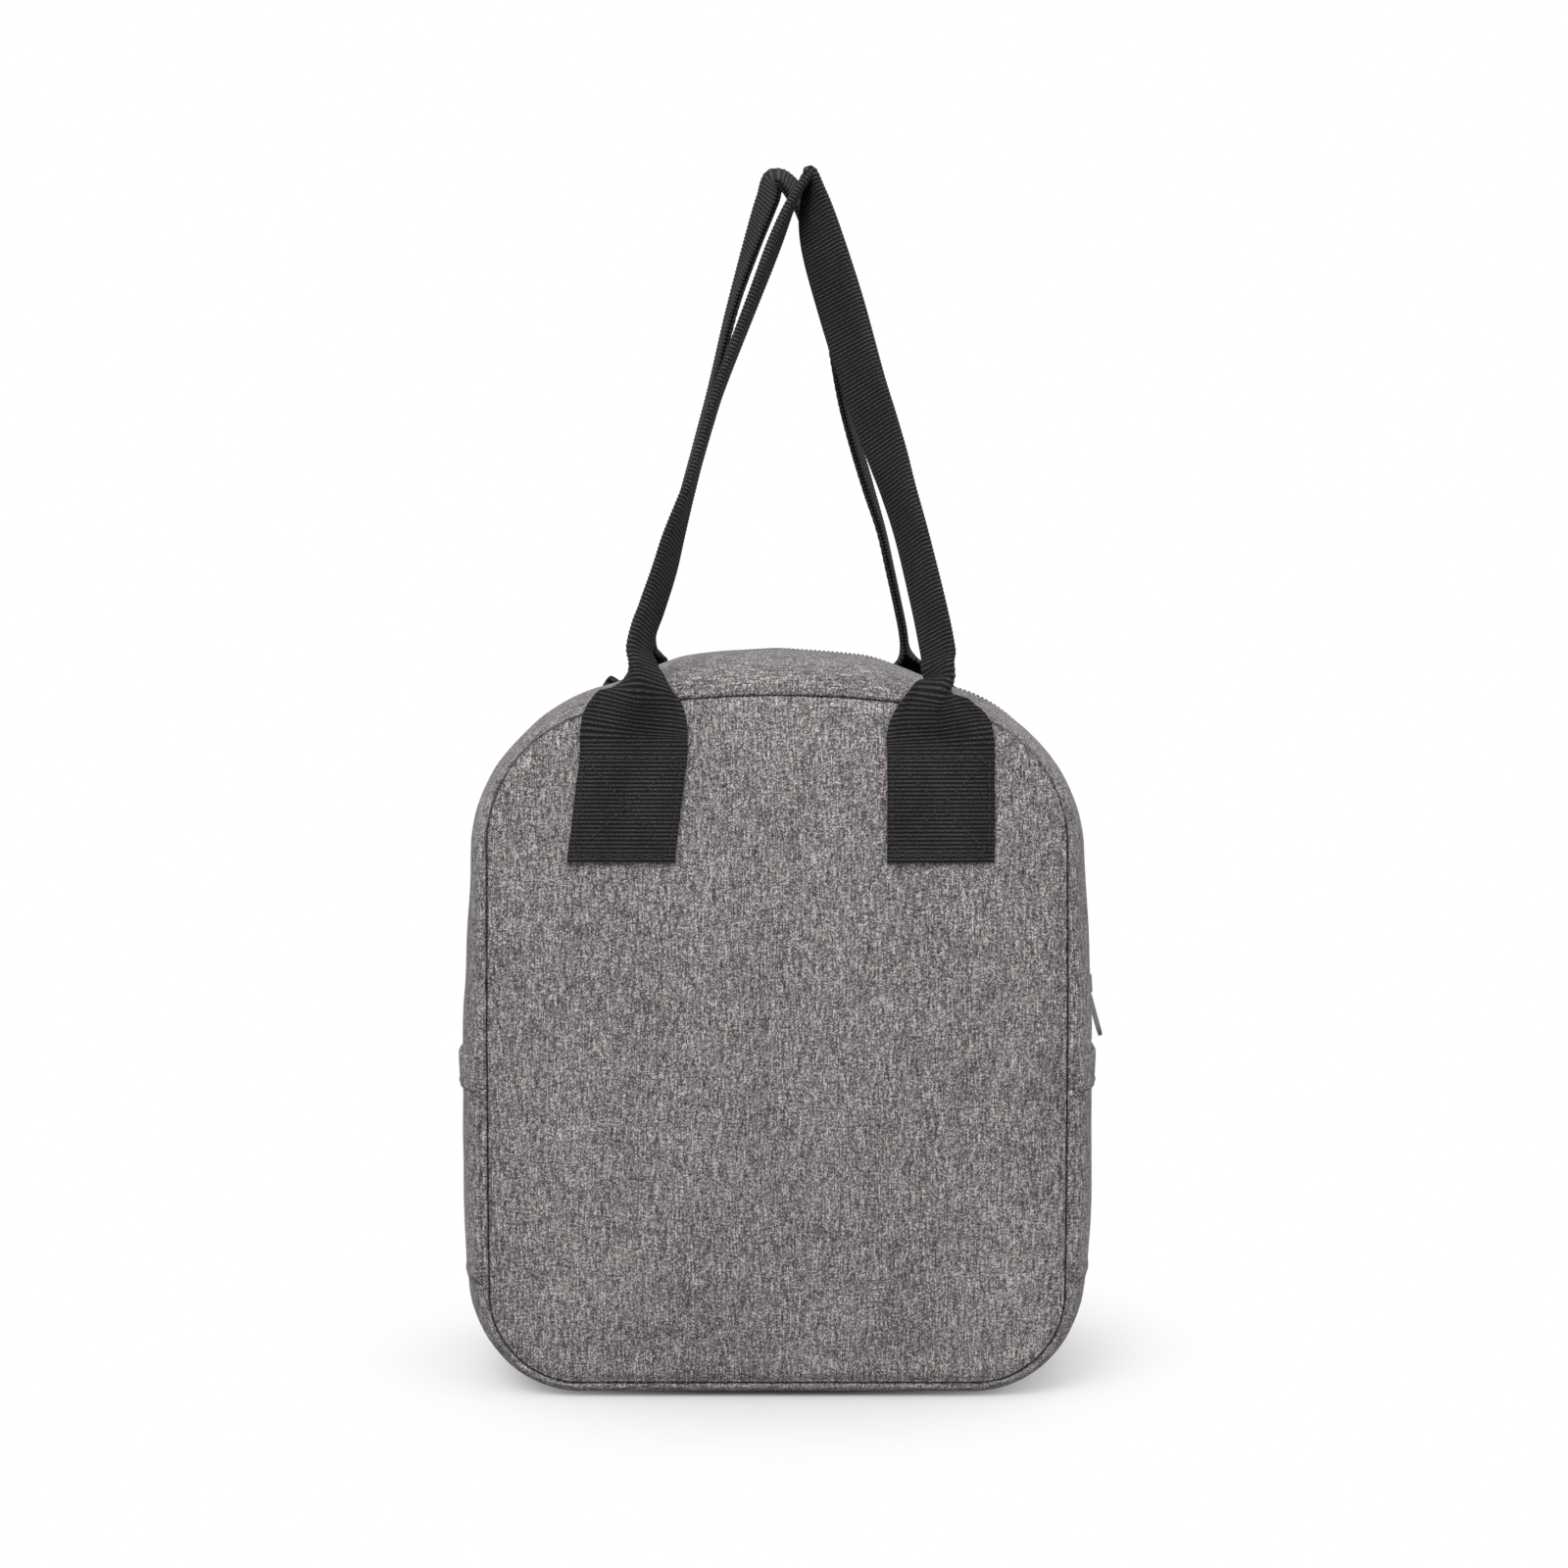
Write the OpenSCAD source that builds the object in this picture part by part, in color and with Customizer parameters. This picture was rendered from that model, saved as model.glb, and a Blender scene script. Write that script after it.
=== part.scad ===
// Insulated lunch bag: a soft padded case with a zipper over its top and down both sides, a flap
// that folds forward when the zipper is open, a slip pocket on each side and two webbing handles.
// Millimetres. +Z is up, +Y points to the opening front, and the origin is the middle of the base.

/* [Case] */
// Width of the back and front panels between their side seams
panel_w = 204; // [180:1:240]
// Height of the panels' top seam at its middle
seam_top = 251; // [235:1:290]
// Height of the panels' bottom seam over the base
seam_lift = 6.5; // [5:0.5:9]
// Depth between the back seam and the front seam
case_d = 120; // [105:1:150]
// Radius of a panel's top corners
top_r = 47; // [38:1:56]
// Radius of a panel's bottom corners
bottom_r = 31; // [24:1:38]
// Slope of the arched top edge where it meets its corners, in degrees
arch_slope = 8.3; // [4:0.1:11]
// How far a panel bows out in its middle
crown = 5; // [2:0.5:8]
// Share of the case's depth over which the base is flat
base_flat = 0.6; // [0.4:0.05:0.7]

/* [Gusset bulge past the seams] */
// On the lower sides, behind the pockets
low_bulge = 13; // [10:0.5:16]
// On the sides at the foot of the zipper
side_bulge = 14.2; // [11:0.1:17]
// At the foot of the top corners
shoulder_bulge = 9; // [7:0.1:11]
// In the top corners
corner_bulge = 5.5; // [4:0.5:8]
// In the middle of the domed top
dome_bulge = 16; // [10:0.5:22]

/* [Layers] */
// Thickness of the outer fabric
fabric_t = 0.8; // [0.5:0.1:1.2]
// Thickness of the insulating foam
foam_t = 3; // [2:0.5:5]
// Thickness of the lining
lining_t = 0.6; // [0.3:0.1:1]
// Thickness of the zipper tape
tape_t = 0.6; // [0.4:0.1:0.8]
// Width of the binding over the seams inside
binding_w = 7; // [5:0.5:10]
// Thickness of that binding
binding_t = 1.2; // [0.8:0.1:1.6]
// Clearance between layers that lie on each other
layer_gap = 0.1; // [0.05:0.05:0.2]

/* [Zipper] */
// Distance of the zipper from the middle of the depth, towards the front
zip_y = 27; // [22:1:32]
// Width of tape that shows between the two edges of fabric
zip_slot = 14; // [13:0.5:18]
// Tape that is tucked under each edge of fabric
tape_tuck = 4; // [2:0.5:6]
// Width of one row of teeth
tooth_w = 2.9; // [2.4:0.1:3.2]
// Height of the teeth over the tape
tooth_h = 1.8; // [1.4:0.1:2]
// Distance from tooth to tooth
tooth_pitch = 6; // [4:0.5:8]
// Gap between the two rows, in which the slider's post runs
row_gap = 1.4; // [1.2:0.1:1.8]
// Height of the lowest tooth over the base
chain_foot = 126; // [118:1:132]
// How far below the lowest tooth the zipper's strips are sewn to the lower gusset
join_drop = 14; // [10:1:22]
// Length of the tape's loose tail below the teeth
tail_len = 24; // [15:1:30]

/* [Flap] */
// How far over the resting slider the front flap folds
fold_rise = 1.8; // [1.4:0.2:8]
// Clearance at the fold
fold_gap = 0.3; // [0.2:0.1:0.6]

/* [Slider and pull] */
// Length of the slider
slider_l = 17; // [14:0.5:18]
// Width of the slider
slider_w = 10.8; // [10.4:0.1:11.6]
// Thickness of the slider's plates
plate_t = 1.2; // [0.8:0.1:1.4]
// Running clearance around the chain
run_gap = 0.3; // [0.2:0.05:0.4]
// Length of the pull from its bar
pull_l = 21; // [16:1:30]
// Width of the pull
pull_w = 8; // [7:0.5:10]
// Thickness of the pull
pull_t = 1.5; // [1:0.1:1.6]
// Angle by which the resting pull leans out, in degrees
pull_lean = 15.5; // [14:0.5:25]

/* [Side pockets] */
// How far the pocket's mouth lies below the lowest tooth
mouth_drop = 2.5; // [2.5:0.5:12]
// Height of the pocket's foot
pocket_foot = 42; // [40:1:60]
// How far the mouth stands out in its middle
pocket_gape = 2.6; // [0.5:0.1:3]
// How far the case gives way behind the mouth
side_dip = 3.6; // [3.2:0.1:5]
// Width of the turned hem along the mouth
hem_w = 12; // [8:1:18]

/* [Handles] */
// Width of the webbing
web_w = 38; // [30:1:42]
// Thickness of the webbing
web_t = 1.3; // [1:0.1:1.8]
// Distance between the feet of the back handle's two patches
back_spread = 114; // [100:1:124]
// Distance between the front handle's two patches
front_spread = 106; // [96:1:124]
// Height of the foot of the patches
patch_foot = 194; // [186:1:200]
// Height of the stitching at which the handles leave the patches
stitch_z = 231.5; // [226:0.5:234]
// Angle by which the back handle's left patch leans in, in degrees
patch_lean = 7; // [0:0.5:9]
// Height of the handles' tops
handle_top = 446; // [380:1:500]
// Distance of the back handle's top from the middle, to the right
back_top_x = 12; // [0:1:16]
// Distance of the front handle's top from the middle, to the right
front_top_x = 0; // [-10:1:12]

/* [Hidden] */

CLOTH = [0.44, 0.43, 0.43];
FOAM = [0.92, 0.92, 0.9];
LINING = [0.78, 0.79, 0.8];
WEBBING = [0.13, 0.13, 0.13];
METAL = [0.8, 0.8, 0.78];

half_w = panel_w / 2;
half_d = case_d / 2;
// What hangs on the foot of the zipper's chain
slider_seat = 0.4;
slider_head = chain_foot + slider_seat + slider_l;
join_z = chain_foot - join_drop;
mouth_z = chain_foot - mouth_drop;
fold_z = slider_head + fold_rise;

// Depth below the outer face at which each layer of the wall starts
tape_in = fabric_t + 3 * layer_gap;
foam_in = tape_in + tape_t + layer_gap;
lining_in = foam_in + foam_t + layer_gap;
wall = lining_in + lining_t;
binding_in = wall + 2 * layer_gap;
// The panels' own layers have no tape between them
panel_foam_in = fabric_t + layer_gap;
panel_lining_in = panel_foam_in + foam_t + layer_gap;
panel_wall = panel_lining_in + lining_t;
// How far the panels' foam and lining stay inside the gusset's fabric
inset = fabric_t + 3 * layer_gap;

// The seam's outline: flat foot, foot corner, side, top corner, arched top. Each is one unit of t.
side_foot = seam_lift + bottom_r;
arch_r = (half_w - top_r + top_r * sin(arch_slope)) / sin(arch_slope);
side_head = seam_top - top_r * cos(arch_slope) - arch_r * (1 - cos(arch_slope));
FOOT_CORNER = 1;
SIDE = 2;
TOP_CORNER = 3;
ARCH = 4;
MIDDLE = 5;

// One half of the outline, from the middle of the foot to the middle of the top: x, z and normal
function half_outline(t) =
    t < FOOT_CORNER ? [t * (half_w - bottom_r), seam_lift, 0, -1] :
    t < SIDE ? arc_point(half_w - bottom_r, side_foot, bottom_r, -90 + 90 * (t - FOOT_CORNER)) :
    t < TOP_CORNER ? [half_w, side_foot + (t - SIDE) * (side_head - side_foot), 1, 0] :
    t < ARCH ? arc_point(half_w - top_r, side_head, top_r, (90 - arch_slope) * (t - TOP_CORNER)) :
    arc_point(0, seam_top - arch_r, arch_r, 90 - arch_slope * (MIDDLE - t));

function arc_point(x, z, r, a) = [x + r * cos(a), z + r * sin(a), cos(a), sin(a)];

// t runs from the middle of the foot up the right side, over the top and down the left side
function on_left(t) = t < 0 || t > MIDDLE;
function half_t(t) = t < 0 ? -t : t > MIDDLE ? 2 * MIDDLE - t : t;
function outline(t) =
    let(p = half_outline(half_t(t))) on_left(t) ? [-p[0], p[1], -p[2], p[3]] : p;

// The place on a side at a height
function side_t(z) = SIDE + (z - side_foot) / (side_head - side_foot);
function left_t(t) = 2 * MIDDLE - t;

// The bulge round the outline. Beside the slider's run it falls off evenly.
run_head = 196;
run_foot = chain_foot - 1;
swell_foot = chain_foot - 8;
low_calm = 66;
dome_half = 4.45;
SIDE_HEIGHTS = [
    side_foot, low_calm, swell_foot, run_foot, (run_foot + run_head) / 2, run_head
];
function bulge(t) = lookup(half_t(t), [
    [0, seam_lift], [FOOT_CORNER, seam_lift], [1.5, (seam_lift + low_bulge) / 2 - 1.2],
    [SIDE, low_bulge - 2], [side_t(low_calm), low_bulge], [side_t(swell_foot), low_bulge],
    [side_t(run_foot), side_bulge], [side_t(run_head), shoulder_bulge],
    [3.5, corner_bulge], [ARCH, corner_bulge + 1], [dome_half, dome_bulge - 1.5],
    [MIDDLE, dome_bulge]]);

// The bulge over the depth: full in the middle, round at the seams, flat over the base
BULGE_POWER = 3;
function flat_share(t) = base_flat * max(0, min(1, (1.6 - half_t(t)) / 0.6));
function profile(u, flat) =
    let(v = max(0, (abs(u) - flat) / (1 - flat))) pow(1 - pow(min(v, 1), BULGE_POWER), 1 / BULGE_POWER);

// Behind the pocket mouths the case gives way and the pocket stands out, both over this spot
gape_y = -15;
gape_half = 37;
function spot(y) = abs(y - gape_y) < gape_half ? pow(cos(90 * (y - gape_y) / gape_half), 2) : 0;
function soften(v) = let(c = max(0, min(1, v))) c * c * (3 - 2 * c);
function side_height(t) = let(h = half_t(t)) h > 1.5 && h < 3.5 ? outline(t)[1] : 0;
function dip(t, y) =
    let(z = side_height(t))
    side_dip * spot(y) * soften((z - pocket_foot) / 34) * soften((run_head - 26 - z) / 40);
function gape(t, y) =
    pocket_gape * spot(y) * soften((side_height(t) - pocket_foot) / (mouth_z - pocket_foot - 5));

// A point of the gusset at the outline's place t and the depth y, d below the undented surface
function skin(t, y, d) =
    let(p = outline(t), out = bulge(t) * profile(y / half_d, flat_share(t)) - d)
    [p[0] + p[2] * out, y, p[1] + p[3] * out];
function gusset_point(t, y, d) = skin(t, y, d + dip(t, y));
function pocket_point(t, y, d) = skin(t, y, d - gape(t, y));

// Places round the outline and over the depth at which the surfaces have their points
CORNER_STEPS = 5;
ARCH_STEPS = 2;
HALF_PLACES = [
    0,
    for (i = [0 : CORNER_STEPS - 1]) FOOT_CORNER + i / CORNER_STEPS,
    for (z = SIDE_HEIGHTS) side_t(z),
    for (i = [0 : CORNER_STEPS - 1]) TOP_CORNER + i / CORNER_STEPS,
    for (i = [0 : ARCH_STEPS - 1]) ARCH + i / ARCH_STEPS
];
PLACES = [
    for (i = [len(HALF_PLACES) - 1 : -1 : 1]) -HALF_PLACES[i],
    each HALF_PLACES,
    MIDDLE,
    for (i = [len(HALF_PLACES) - 1 : -1 : 0]) left_t(HALF_PLACES[i])
];
// A place that lies closer than this to an end is left out
LEAST_STEP = 0.02;
function places(a, b) =
    [a, for (t = PLACES) if (t > a + LEAST_STEP && t < b - LEAST_STEP) t, b];
DEPTH_STEPS = 10;
DEPTHS = [for (i = [0 : DEPTH_STEPS]) half_d * sin(90 * (2 * i / DEPTH_STEPS - 1))];
LEAST_DEPTH = 1;
function depths(a, b) =
    [a, for (y = DEPTHS) if (y > a + LEAST_DEPTH && y < b - LEAST_DEPTH) y, b];

// A closed sheet between two grids of points. The end rows are joined if it runs all the way round.
module sheet(outer, inner, ring = false) {
    rows = len(outer);
    cols = len(outer[0]);
    i = floor(rows / 2) - 1;
    j = floor(cols / 2) - 1;
    side_a = outer[i + 1][j] - outer[i][j];
    side_b = outer[i][j + 1] - outer[i][j];
    outward = cross(side_a, side_b) * (outer[i][j] - inner[i][j]) > 0;
    last = ring ? rows - 1 : rows - 2;
    function at(k, r, c) = (k * rows + r % rows) * cols + c;
    function pair(a, b, c, d) = [[a, b, c], [a, c, d]];
    faces = [
        for (r = [0 : last], c = [0 : cols - 2])
            each concat(
                pair(at(0, r, c), at(0, r + 1, c), at(0, r + 1, c + 1), at(0, r, c + 1)),
                pair(at(1, r, c), at(1, r, c + 1), at(1, r + 1, c + 1), at(1, r + 1, c))),
        for (r = [0 : last])
            each concat(
                pair(at(0, r + 1, 0), at(0, r, 0), at(1, r, 0), at(1, r + 1, 0)),
                pair(at(0, r, cols - 1), at(0, r + 1, cols - 1),
                    at(1, r + 1, cols - 1), at(1, r, cols - 1))),
        if (!ring) for (c = [0 : cols - 2])
            each concat(
                pair(at(0, 0, c), at(0, 0, c + 1), at(1, 0, c + 1), at(1, 0, c)),
                pair(at(0, rows - 1, c + 1), at(0, rows - 1, c),
                    at(1, rows - 1, c), at(1, rows - 1, c + 1)))
    ];
    polyhedron(
        points = [for (row = outer) each row, for (row = inner) each row],
        faces = outward ? [for (f = faces) [f[2], f[1], f[0]]] : faces);
}

// A closed bar through rings of points that each run round the same way
module bar(rings) {
    n = len(rings[0]);
    last = len(rings) - 1;
    sides = [
        for (r = [0 : last - 1], k = [0 : n - 1])
            let(a = r * n + k, b = r * n + (k + 1) % n)
            each [[b + n, b, a], [a + n, b + n, a]]
    ];
    near_cap = [for (k = [0 : n - 1]) k];
    far_cap = [for (k = [n - 1 : -1 : 0]) last * n + k];
    polyhedron(points = [for (r = rings) each r], faces = concat(sides, [near_cap, far_cap]));
}

// A strip of the gusset's wall between two places and two depths, from the level d to d + t
module gusset_strip(from, to, y0, y1, d, t) {
    rows = places(from, to);
    cols = depths(y0, y1);
    sheet(
        [for (r = rows) [for (y = cols) gusset_point(r, y, d)]],
        [for (r = rows) [for (y = cols) gusset_point(r, y, d + t)]]);
}

// The same strip of a pocket, which stands off the wall
module pocket_strip(from, to, y0, y1, d, t) {
    rows = places(from, to);
    cols = depths(y0, y1);
    sheet(
        [for (r = rows) [for (y = cols) pocket_point(r, y, d)]],
        [for (r = rows) [for (y = cols) pocket_point(r, y, d + t)]]);
}

// How far a panel bows out at a point, from 0 at its seam to 1 in its middle
CROWN_POWER = 3;
mid_z = (seam_lift + seam_top) / 2;
tall = (seam_top - seam_lift) / 2;
function width_at(z) =
    z < side_foot ? half_w - bottom_r + sqrt(max(0, pow(bottom_r, 2) - pow(side_foot - z, 2))) :
    z < side_head ? half_w :
    half_w - top_r + sqrt(max(0, pow(top_r, 2) - pow(z - side_head, 2)));
function bow(x, z) =
    (1 - pow(min(1, abs(x) / width_at(z)), CROWN_POWER)) *
    (1 - pow(min(1, abs(z - mid_z) / tall), CROWN_POWER));
function panel_y(x, z) = half_d + fabric_t + crown * bow(x, z);

// A panel's layer from z0 to z1, kept e inside the seam and starting d below the outer face.
// side is -1 at the back and 1 at the front.
COLUMNS = 3;
TOP_ROW = 4.9;
LEAST_ROW = 1;
function panel_rows(e, z0, z1) = [
    for (t = [for (h = HALF_PLACES) if (h >= FOOT_CORNER) h, TOP_ROW])
        let(p = half_outline(t), z = p[1] - p[3] * e, x = p[0] - p[2] * e)
        if (z > z0 + LEAST_ROW && z < z1 - LEAST_ROW) [x, z]
];
module panel_layer(side, z0, z1, e, d, t) {
    inner_rows = panel_rows(e, z0, z1);
    foot = z0 > seam_lift ? [[half_w - e, z0]] : [[half_w - bottom_r, seam_lift + e]];
    head = z1 < seam_top ? [[half_w - e, z1]] : [];
    rows = concat(foot, inner_rows, head);
    function face(row, depth) = [
        for (c = [-COLUMNS : COLUMNS])
            let(x = row[0] * sin(90 * c / COLUMNS)) [x, side * (panel_y(x, row[1]) - depth), row[1]]
    ];
    sheet([for (r = rows) face(r, d)], [for (r = rows) face(r, d + t)]);
}

ALL_BELOW = 0;
ALL_ABOVE = 2 * seam_top;
fold_foot = fold_z - fold_gap / 2;
fold_head = fold_z + fold_gap / 2;

module back_panel() {
    color(CLOTH) panel_layer(-1, ALL_BELOW, ALL_ABOVE, 0, 0, fabric_t);
}

module back_foam() {
    color(FOAM) panel_layer(-1, ALL_BELOW, ALL_ABOVE, inset, panel_foam_in, foam_t);
}

module back_lining() {
    color(LINING) panel_layer(-1, ALL_BELOW, ALL_ABOVE, inset, panel_lining_in, lining_t);
}

module front_panel_lower() {
    color(CLOTH) panel_layer(1, ALL_BELOW, fold_foot, 0, 0, fabric_t);
}

module front_foam_lower() {
    color(FOAM) panel_layer(1, ALL_BELOW, fold_foot, inset, panel_foam_in, foam_t);
}

module front_lining_lower() {
    color(LINING) panel_layer(1, ALL_BELOW, fold_foot, inset, panel_lining_in, lining_t);
}

module front_panel_upper() {
    color(CLOTH) panel_layer(1, fold_head, ALL_ABOVE, 0, 0, fabric_t);
}

module front_foam_upper() {
    color(FOAM) panel_layer(1, fold_head, ALL_ABOVE, inset, panel_foam_in, foam_t);
}

module front_lining_upper() {
    color(LINING) panel_layer(1, fold_head, ALL_ABOVE, inset, panel_lining_in, lining_t);
}

// The gusset. Its foam and lining end against the inner face of the panels.
seam_y = half_d - layer_gap / 2;
core_y = half_d + fabric_t - panel_wall - layer_gap;
slot_back = zip_y - zip_slot / 2;
slot_front = zip_y + zip_slot / 2;
join_t = side_t(join_z);
seam_gap_t = 0.002;
upper_from = join_t + seam_gap_t;
upper_to = left_t(upper_from);
flap_from = side_t(fold_head);
flap_to = left_t(flap_from);
stub_to = side_t(fold_foot);

module lower_strip(y, d, t) {
    gusset_strip(-join_t, join_t, -y, y, d, t);
}

module lower_gusset() {
    color(CLOTH) lower_strip(seam_y, 0, fabric_t);
}

module lower_gusset_foam() {
    color(FOAM) lower_strip(core_y, foam_in, foam_t);
}

module lower_gusset_lining() {
    color(LINING) lower_strip(core_y, lining_in, lining_t);
}

module upper_gusset_back() {
    color(CLOTH) gusset_strip(upper_from, upper_to, -seam_y, slot_back, 0, fabric_t);
}

module upper_gusset_back_foam() {
    color(FOAM) gusset_strip(upper_from, upper_to, -core_y, slot_back, foam_in, foam_t);
}

module upper_gusset_back_lining() {
    color(LINING)
        gusset_strip(upper_from, upper_to, -core_y, slot_back, lining_in, lining_t);
}

module front_stubs(y1, d, t) {
    for (ends = [[upper_from, stub_to], [left_t(stub_to), upper_to]])
        gusset_strip(ends[0], ends[1], slot_front, y1, d, t);
}

module front_gusset_stub() {
    color(CLOTH) front_stubs(seam_y, 0, fabric_t);
}

module front_gusset_stub_foam() {
    color(FOAM) front_stubs(core_y, foam_in, foam_t);
}

module front_gusset_stub_lining() {
    color(LINING) front_stubs(core_y, lining_in, lining_t);
}

module front_gusset_flap() {
    color(CLOTH) gusset_strip(flap_from, flap_to, slot_front, seam_y, 0, fabric_t);
}

module front_gusset_flap_foam() {
    color(FOAM)
        gusset_strip(flap_from, flap_to, slot_front, core_y, foam_in, foam_t);
}

module front_gusset_flap_lining() {
    color(LINING)
        gusset_strip(flap_from, flap_to, slot_front, core_y, lining_in, lining_t);
}

// The binding covers the raw edges of the seams inside the case
binding_y0 = core_y - binding_w;
module seam_binding_back() {
    rows = [for (t = PLACES) if (t >= 0 && t < 2 * MIDDLE) t];
    cols = depths(-core_y, -binding_y0);
    function face(d) = [for (t = rows) [for (y = cols) gusset_point(t, y, d)]];
    color(WEBBING) sheet(face(binding_in), face(binding_in + binding_t), ring = true);
}

module seam_binding_front_lower() {
    color(WEBBING)
        gusset_strip(-stub_to, stub_to, binding_y0, core_y, binding_in, binding_t);
}

module seam_binding_front_upper() {
    color(WEBBING)
        gusset_strip(flap_from, flap_to, binding_y0, core_y, binding_in, binding_t);
}

// Side pockets: sewn into both seams and along their foot, open at the hemmed mouth
pocket_y = seam_y - 3;
pocket_stand = 2 * layer_gap;
module side_pocket(side) {
    ends = [side_t(pocket_foot), side_t(mouth_z)];
    d = -pocket_stand - fabric_t;
    from = side > 0 ? ends[0] : -ends[1];
    to = side > 0 ? ends[1] : -ends[0];
    color(CLOTH) pocket_strip(from, to, -pocket_y, pocket_y, d, fabric_t);
}

module side_pocket_left() {
    side_pocket(-1);
}

module side_pocket_right() {
    side_pocket(1);
}

// The hem is the mouth's edge turned over and stitched down outside
module pocket_hem(side) {
    ends = [side_t(mouth_z - hem_w), side_t(mouth_z)];
    d = -pocket_stand - 2 * fabric_t - layer_gap;
    from = side > 0 ? ends[0] : -ends[1];
    to = side > 0 ? ends[1] : -ends[0];
    color(CLOTH) pocket_strip(from, to, -pocket_y, pocket_y, d, fabric_t);
}

module pocket_hem_left() {
    pocket_hem(-1);
}

module pocket_hem_right() {
    pocket_hem(1);
}

// Zipper: two tapes with a row of teeth each
tape_from = side_t(chain_foot - 4);
back_row_y = zip_y - row_gap / 2;
front_row_y = zip_y + row_gap / 2;
tooth_top = tooth_h - tape_in + layer_gap;

module zipper_tape_back() {
    color(WEBBING)
        gusset_strip(upper_from, upper_to, slot_back - tape_tuck, back_row_y, tape_in, tape_t);
}

module zipper_tape_stub() {
    color(WEBBING) for (ends = [[upper_from, stub_to], [left_t(stub_to), upper_to]])
        gusset_strip(ends[0], ends[1], front_row_y, slot_front + tape_tuck, tape_in, tape_t);
}

module zipper_tape_front() {
    color(WEBBING)
        gusset_strip(flap_from, flap_to, front_row_y, slot_front + tape_tuck, tape_in, tape_t);
}

// How the side slopes in along the slider's run
run_slope = (side_bulge - shoulder_bulge) * profile(zip_y / half_d, 0) / (run_head - run_foot);
run_tilt = atan(run_slope);

// A row of teeth between two places, with its heads towards the other row. Each tooth fills the
// first half of its pitch, and between two teeth only the coil's core runs on.
tooth_core = 0.6;
module teeth_row(from, to, side) {
    half_pitches = 2 * round(row_length(from, to) / tooth_pitch);
    heel = zip_y + side * (row_gap / 2 + tooth_w);
    function head(i) = zip_y + side * (row_gap / 2 + (i % 2 == 0 ? 0 : tooth_w * tooth_core));
    function ring(t, y) = [
        gusset_point(t, y, -tooth_top), gusset_point(t, heel, -tooth_top),
        gusset_point(t, heel, tape_in - layer_gap), gusset_point(t, y, tape_in - layer_gap)
    ];
    steps = [for (i = [0 : half_pitches]) row_place(from, to, i / half_pitches)];
    rings = [for (i = [0 : half_pitches]) ring(steps[i], head(i))];
    bar(side > 0 ? rings : [for (r = rings) [r[3], r[2], r[1], r[0]]]);
}

// Length along the outline up to a place, and the place at a length
side_l = side_head - side_foot;
corner_l = (top_r + corner_bulge) * (90 - arch_slope) * PI / 180;
arch_l = arch_r * arch_slope * PI / 180;
LENGTHS = [
    [SIDE, 0], [TOP_CORNER, side_l], [ARCH, side_l + corner_l],
    [left_t(ARCH), side_l + corner_l + 2 * arch_l],
    [left_t(TOP_CORNER), side_l + 2 * corner_l + 2 * arch_l],
    [left_t(SIDE), 2 * (side_l + corner_l + arch_l)]
];
function row_length(from, to) = abs(lookup(to, LENGTHS) - lookup(from, LENGTHS));
function row_place(from, to, share) =
    let(a = lookup(from, LENGTHS), b = lookup(to, LENGTHS))
    lookup(a + (b - a) * share, [for (e = LENGTHS) [e[1], e[0]]]);

teeth_from = side_t(chain_foot);
module zipper_teeth_back() {
    color(WEBBING) teeth_row(teeth_from, left_t(teeth_from), -1);
}

module zipper_teeth_stub() {
    color(WEBBING) for (ends = [[teeth_from, stub_to], [left_t(stub_to), left_t(teeth_from)]])
        teeth_row(ends[0], ends[1], 1);
}

module zipper_teeth_front() {
    color(WEBBING) teeth_row(flap_from, flap_to, 1);
}

// A metal stop across both rows at each end of the teeth
stop_l = 1.8;
stop_gap = 0.15;
module zipper_stops() {
    color(METAL) for (left = [0, 1]) mirror([left, 0, 0])
        at_run(chain_foot - stop_gap - stop_l / 2)
            translate([-tape_in + layer_gap, -tooth_w - row_gap / 2, -stop_l / 2])
                cube([tape_in - layer_gap + tooth_top, 2 * tooth_w + row_gap, stop_l]);
}

// The tape's ends hang loose over the pockets
tail_t = 1.2;
tail_w = 12;
tail_stand = 2 * fabric_t + 2 * layer_gap + pocket_stand;
module zipper_tail(side) {
    head = chain_foot - stop_l - 3 * stop_gap;
    rows = [side_t(head - tail_len), side_t(head - tail_len / 2), side_t(head)];
    ends = side > 0 ? rows : [-rows[2], -rows[1], -rows[0]];
    cols = [zip_y - tail_w / 2, zip_y, zip_y + tail_w / 2];
    function face(d) = [for (t = ends) [for (y = cols) pocket_point(t, y, d)]];
    color(WEBBING) sheet(face(-tail_stand - tail_t), face(-tail_stand));
}

module zipper_tail_left() {
    zipper_tail(-1);
}

module zipper_tail_right() {
    zipper_tail(1);
}

// Puts its children on the zipper's centre line at a height of the right side, with their x axis
// out of the case and their z axis along the teeth
module at_run(z) {
    translate(gusset_point(side_t(z), zip_y, 0)) rotate([0, -run_tilt, 0]) children();
}

// The slider: two plates round the chain, a post between the rows, flanges beside them, a bridge
// that holds the pull and a nose on which the pull rests
slider_z = slider_head - slider_l / 2;
top_in = tooth_top + run_gap;
top_out = top_in + plate_t;
// The low plate keeps more clearance, because the run isn't quite straight
low_out = -tape_in - tape_t - 2.5 * run_gap;
flange_in = row_gap / 2 + tooth_w + run_gap;
flange_foot = -tape_in + run_gap;
post_half = row_gap / 2 - run_gap;
post_l = 5;
post_foot = 0.5;
flange_short = 3;
plate_corner = 1.1;
bridge_w = 2.4;
bridge_l = 7;
bridge_wall = 1;
bridge_inner = 2.4;
bridge_z = 3;
nose_z = -4.6;
nose_w = 5;
seat_gap = 0.2;
rest_lean = pull_lean - run_tilt;
nose_r = ((bridge_inner + plate_t) / 2 + (bridge_z - nose_z) * tan(rest_lean)) * cos(rest_lean)
    - pull_t / 2 - seat_gap;

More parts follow.
